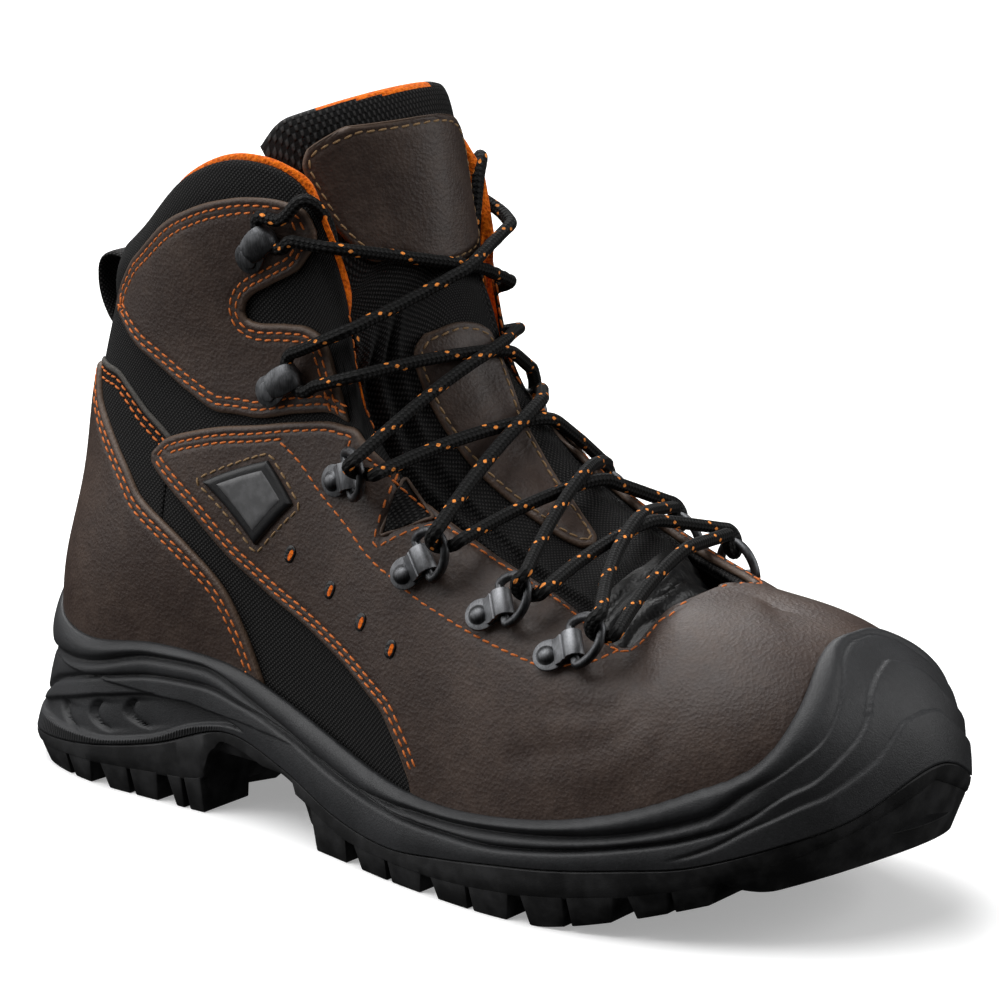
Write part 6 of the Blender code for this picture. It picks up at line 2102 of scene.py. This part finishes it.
class BOOT_OT_details(bpy.types.Operator):
    """Vents of orange mesh on dark ovals of painted shadow, side inlays, badge and pull loop"""
    bl_idname = "boot.details"
    bl_label = "Vents, badge and pull loop"

    def execute(self, context):
        rows = []
        leather = millimetres("leather")
        for side, flip in (("outer", False), ("inner", True)):
            turn = mirrored if flip else (lambda line: line)
            rims, cores = [], []
            for k, (t, h) in enumerate(VENTS):
                # The dark ovals are painted shadow in the slots; the cores sit off centre so the painted shadow falls
                # on one side.
                rims.append(oval_sheet("vent_rim_%d" % k, t, h, VENT_LONG, VENT_WIDE, VENT_LEAN, 0.0, 0.1, 0.3, "black_leather", flip))
                cores.append(oval_sheet("vent_mesh_%d" % k, t, h, VENT_LONG * 0.72, VENT_WIDE * 0.42, VENT_LEAN, VENT_SHIFT, 0.2, 0.3,
                                        "pile_lining", flip))
            settle(joined(side + "_vents", rims), "leather")
            settle(joined(side + "_vent_mesh", cores), "textile")
            corners = np.array(TRIANGLE)
            wider = corners.mean(0) + (corners - corners.mean(0)) * INLAY_SEAM
            self.make_inlay(side + "_inlay", turn(corners))
            rows.append(stitch_row(on_last, turn(corner_line(wider[[1, 0, 2]], False, 0.2)), SKIN_GAP + leather - 0.05))
        settle(sewn("inlay_stitching", "thread", rows), "textile")
        self.make_badge()
        self.make_loop()
        return {"FINISHED"}

    def make_inlay(self, name, corners):
        a, b, c = corners
        grid = patch_grid((a, b, c, a * 0.5 + c * 0.5), 16, 0)
        lift = SKIN_GAP + millimetres("leather")
        settle(leather_sheet(name, [grid], (), lift - 0.75, 0.35, ("woven_textile",), cloth=True), "textile")
        line = corner_line(corners, True, 0.12)[:-1]
        points, faces = sweep(on_last(line[:, 0], line[:, 1], lift - 0.2), WINDOW_BEAD, 10, True)
        rim_piece = mesh_piece(name + "_edge", points, faces, ("brown_leather",), edge=np.full(len(points), 0.6))
        settle(rim_piece, "leather")

    def make_badge(self):
        lift = SKIN_GAP + millimetres("leather")
        plate = leather_sheet("badge_plate", [patch_grid(BADGE, 40, 0)], (), lift + 0.1, 1.3, ("badge",))
        settle(plate, "badge", "badge")
        corners = np.array(BADGE)
        middle = corners.mean(0)
        field = leather_sheet("badge_plain_field", [patch_grid(middle + (corners - middle) * BADGE_FIELD, 32, 0)], (),
                              lift + 1.0, 0.75, ("badge_field",))
        settle(field, "badge")
        line = corner_line(BADGE_BORDER, True, 0.1)
        settle(sewn("badge_stitching", "tan_thread", [stitch_row(on_last, line, lift + 0.1)]), "textile")

    def make_loop(self):
        """Woven strap folded into a loop, with soft edges."""
        line = catmull([(x, 0.0, z) for x, z in LOOP], 0.8)
        run = unit(np.gradient(line, axis=0))
        side = np.cross(run, (0, 1, 0))
        across = np.linspace(-1, 1, 21)
        half = 0.8 * np.sqrt(np.clip(1 - across ** 8, 0, 1)) + 0.05
        ring = np.concatenate([np.stack([across * 8.0, half], 1), np.stack([across[::-1] * 8.0, -half[::-1]], 1)])
        points = line[:, None, :] + ring[None, :, :1] * np.array((0, 1.0, 0)) + ring[None, :, 1:] * side[:, None, :]
        rows, count = points.shape[:2]
        faces = grid_faces(rows, count, True).tolist()
        faces += [list(range(count))[::-1], list(range((rows - 1) * count, rows * count))]
        uv = np.stack(np.broadcast_arrays(ring[None, :, 0], np.arange(rows)[:, None] * 0.8), -1).reshape(-1, 2)
        obj = mesh_piece("heel_pull_loop", points.reshape(-1, 3), faces, ("woven_textile",), uv=uv)
        settle(obj, "textile", "pull_loop")


AZIMUTH = math.radians(39)
ELEVATION = math.radians(15)
CAMERA_AWAY = 1.5
CAMERA_LENS = 194.75
CAMERA_TARGET = Vector((0.01075, 0.0015, 0.0975))
# Soft lights: name, direction round and up from the camera's target, distance, size, power.
LIGHTS = (("key_light", -70, 38, 1.1, 0.7, 2.2), ("side_light", -98, 15, 1.1, 0.7, 3.4), ("fill_light", 85, 22, 1.1, 0.7, 5.0),
          ("back_light", -165, 43, 1.15, 0.8, 9.0))
# One wide overhead light: direction round and up, breadth, strength.
OVERHEAD = (-80, 70, math.radians(50), 2.4)
WORLD_LEVEL = 0.18


class BOOT_OT_stage(bpy.types.Operator):
    """Floor, soft lights, pale surroundings and the camera"""
    bl_idname = "boot.stage"
    bl_label = "Stage"

    def execute(self, context):
        deselect()
        bpy.ops.mesh.primitive_plane_add(size=12.0, location=(0, 0, 0))
        floor = bpy.context.object
        floor.name = "studio_floor"
        floor.data.materials.append(finish("studio_floor"))
        floor.visible_glossy = False
        floor.visible_diffuse = False
        scene = context.scene
        surroundings = bpy.data.worlds.new("studio")
        surroundings.use_nodes = True
        back = surroundings.node_tree.nodes["Background"]
        back.inputs["Color"].default_value = (1, 1, 1, 1)
        back.inputs["Strength"].default_value = WORLD_LEVEL
        surroundings.cycles_visibility.glossy = False
        scene.world = surroundings
        scene.view_settings.view_transform = "Standard"
        for name, turn, lift, away, size, power in LIGHTS:
            data = bpy.data.lights.new(name, "AREA")
            data.size = size
            data.energy = power
            light = bpy.data.objects.new(name, data)
            scene.collection.objects.link(light)
            a, e = AZIMUTH + math.radians(turn), math.radians(lift)
            self.aim(light, a, e, away)
        turn, lift, breadth, strength = OVERHEAD
        data = bpy.data.lights.new("overhead_light", "SUN")
        data.angle = breadth
        data.energy = strength
        light = bpy.data.objects.new("overhead_light", data)
        scene.collection.objects.link(light)
        self.aim(light, AZIMUTH + math.radians(turn), math.radians(lift), 2.0)
        data = bpy.data.cameras.new("camera")
        data.lens = CAMERA_LENS
        data.sensor_width = 36.0
        data.clip_end = 50.0
        camera = bpy.data.objects.new("camera", data)
        scene.collection.objects.link(camera)
        self.aim(camera, AZIMUTH, ELEVATION, CAMERA_AWAY)
        scene.camera = camera
        return {"FINISHED"}

    def aim(self, obj, azimuth, elevation, away):
        back = Vector((math.sin(azimuth) * math.cos(elevation), -math.cos(azimuth) * math.cos(elevation), math.sin(elevation)))
        obj.location = CAMERA_TARGET + back * away
        obj.rotation_euler = (-back).to_track_quat("-Z", "Y").to_euler()


OPERATORS = (BOOT_OT_stage, BOOT_OT_lace, BOOT_OT_upper, BOOT_OT_leather, BOOT_OT_tongue, BOOT_OT_midsole,
             BOOT_OT_outsole, BOOT_OT_insole, BOOT_OT_fittings, BOOT_OT_details)


class BOOT_PT_panel(bpy.types.Panel):
    """Steps that build the boot's surfaces"""
    bl_idname = "BOOT_PT_panel"
    bl_label = "Safety boot"
    bl_space_type = "VIEW_3D"
    bl_region_type = "UI"
    bl_category = "Boot"

    def draw(self, context):
        for group in (context.scene.boot_sizes, context.scene.boot_colours):
            for key in group.__annotations__:
                self.layout.prop(group, key)
        for operator in OPERATORS:
            self.layout.operator(operator.bl_idname)


CLASSES = (BootSizes, BootColours) + OPERATORS + (BOOT_PT_panel,)


def register():
    for cls in CLASSES:
        bpy.utils.register_class(cls)
    bpy.types.Scene.boot_sizes = bpy.props.PointerProperty(type=BootSizes)
    bpy.types.Scene.boot_colours = bpy.props.PointerProperty(type=BootColours)


def unregister():
    del bpy.types.Scene.boot_sizes
    del bpy.types.Scene.boot_colours
    for cls in reversed(CLASSES):
        bpy.utils.unregister_class(cls)


def main():
    register()
    for operator in OPERATORS:
        getattr(bpy.ops.boot, operator.bl_idname.split(".")[1])()


if __name__ == "__main__":
    main()
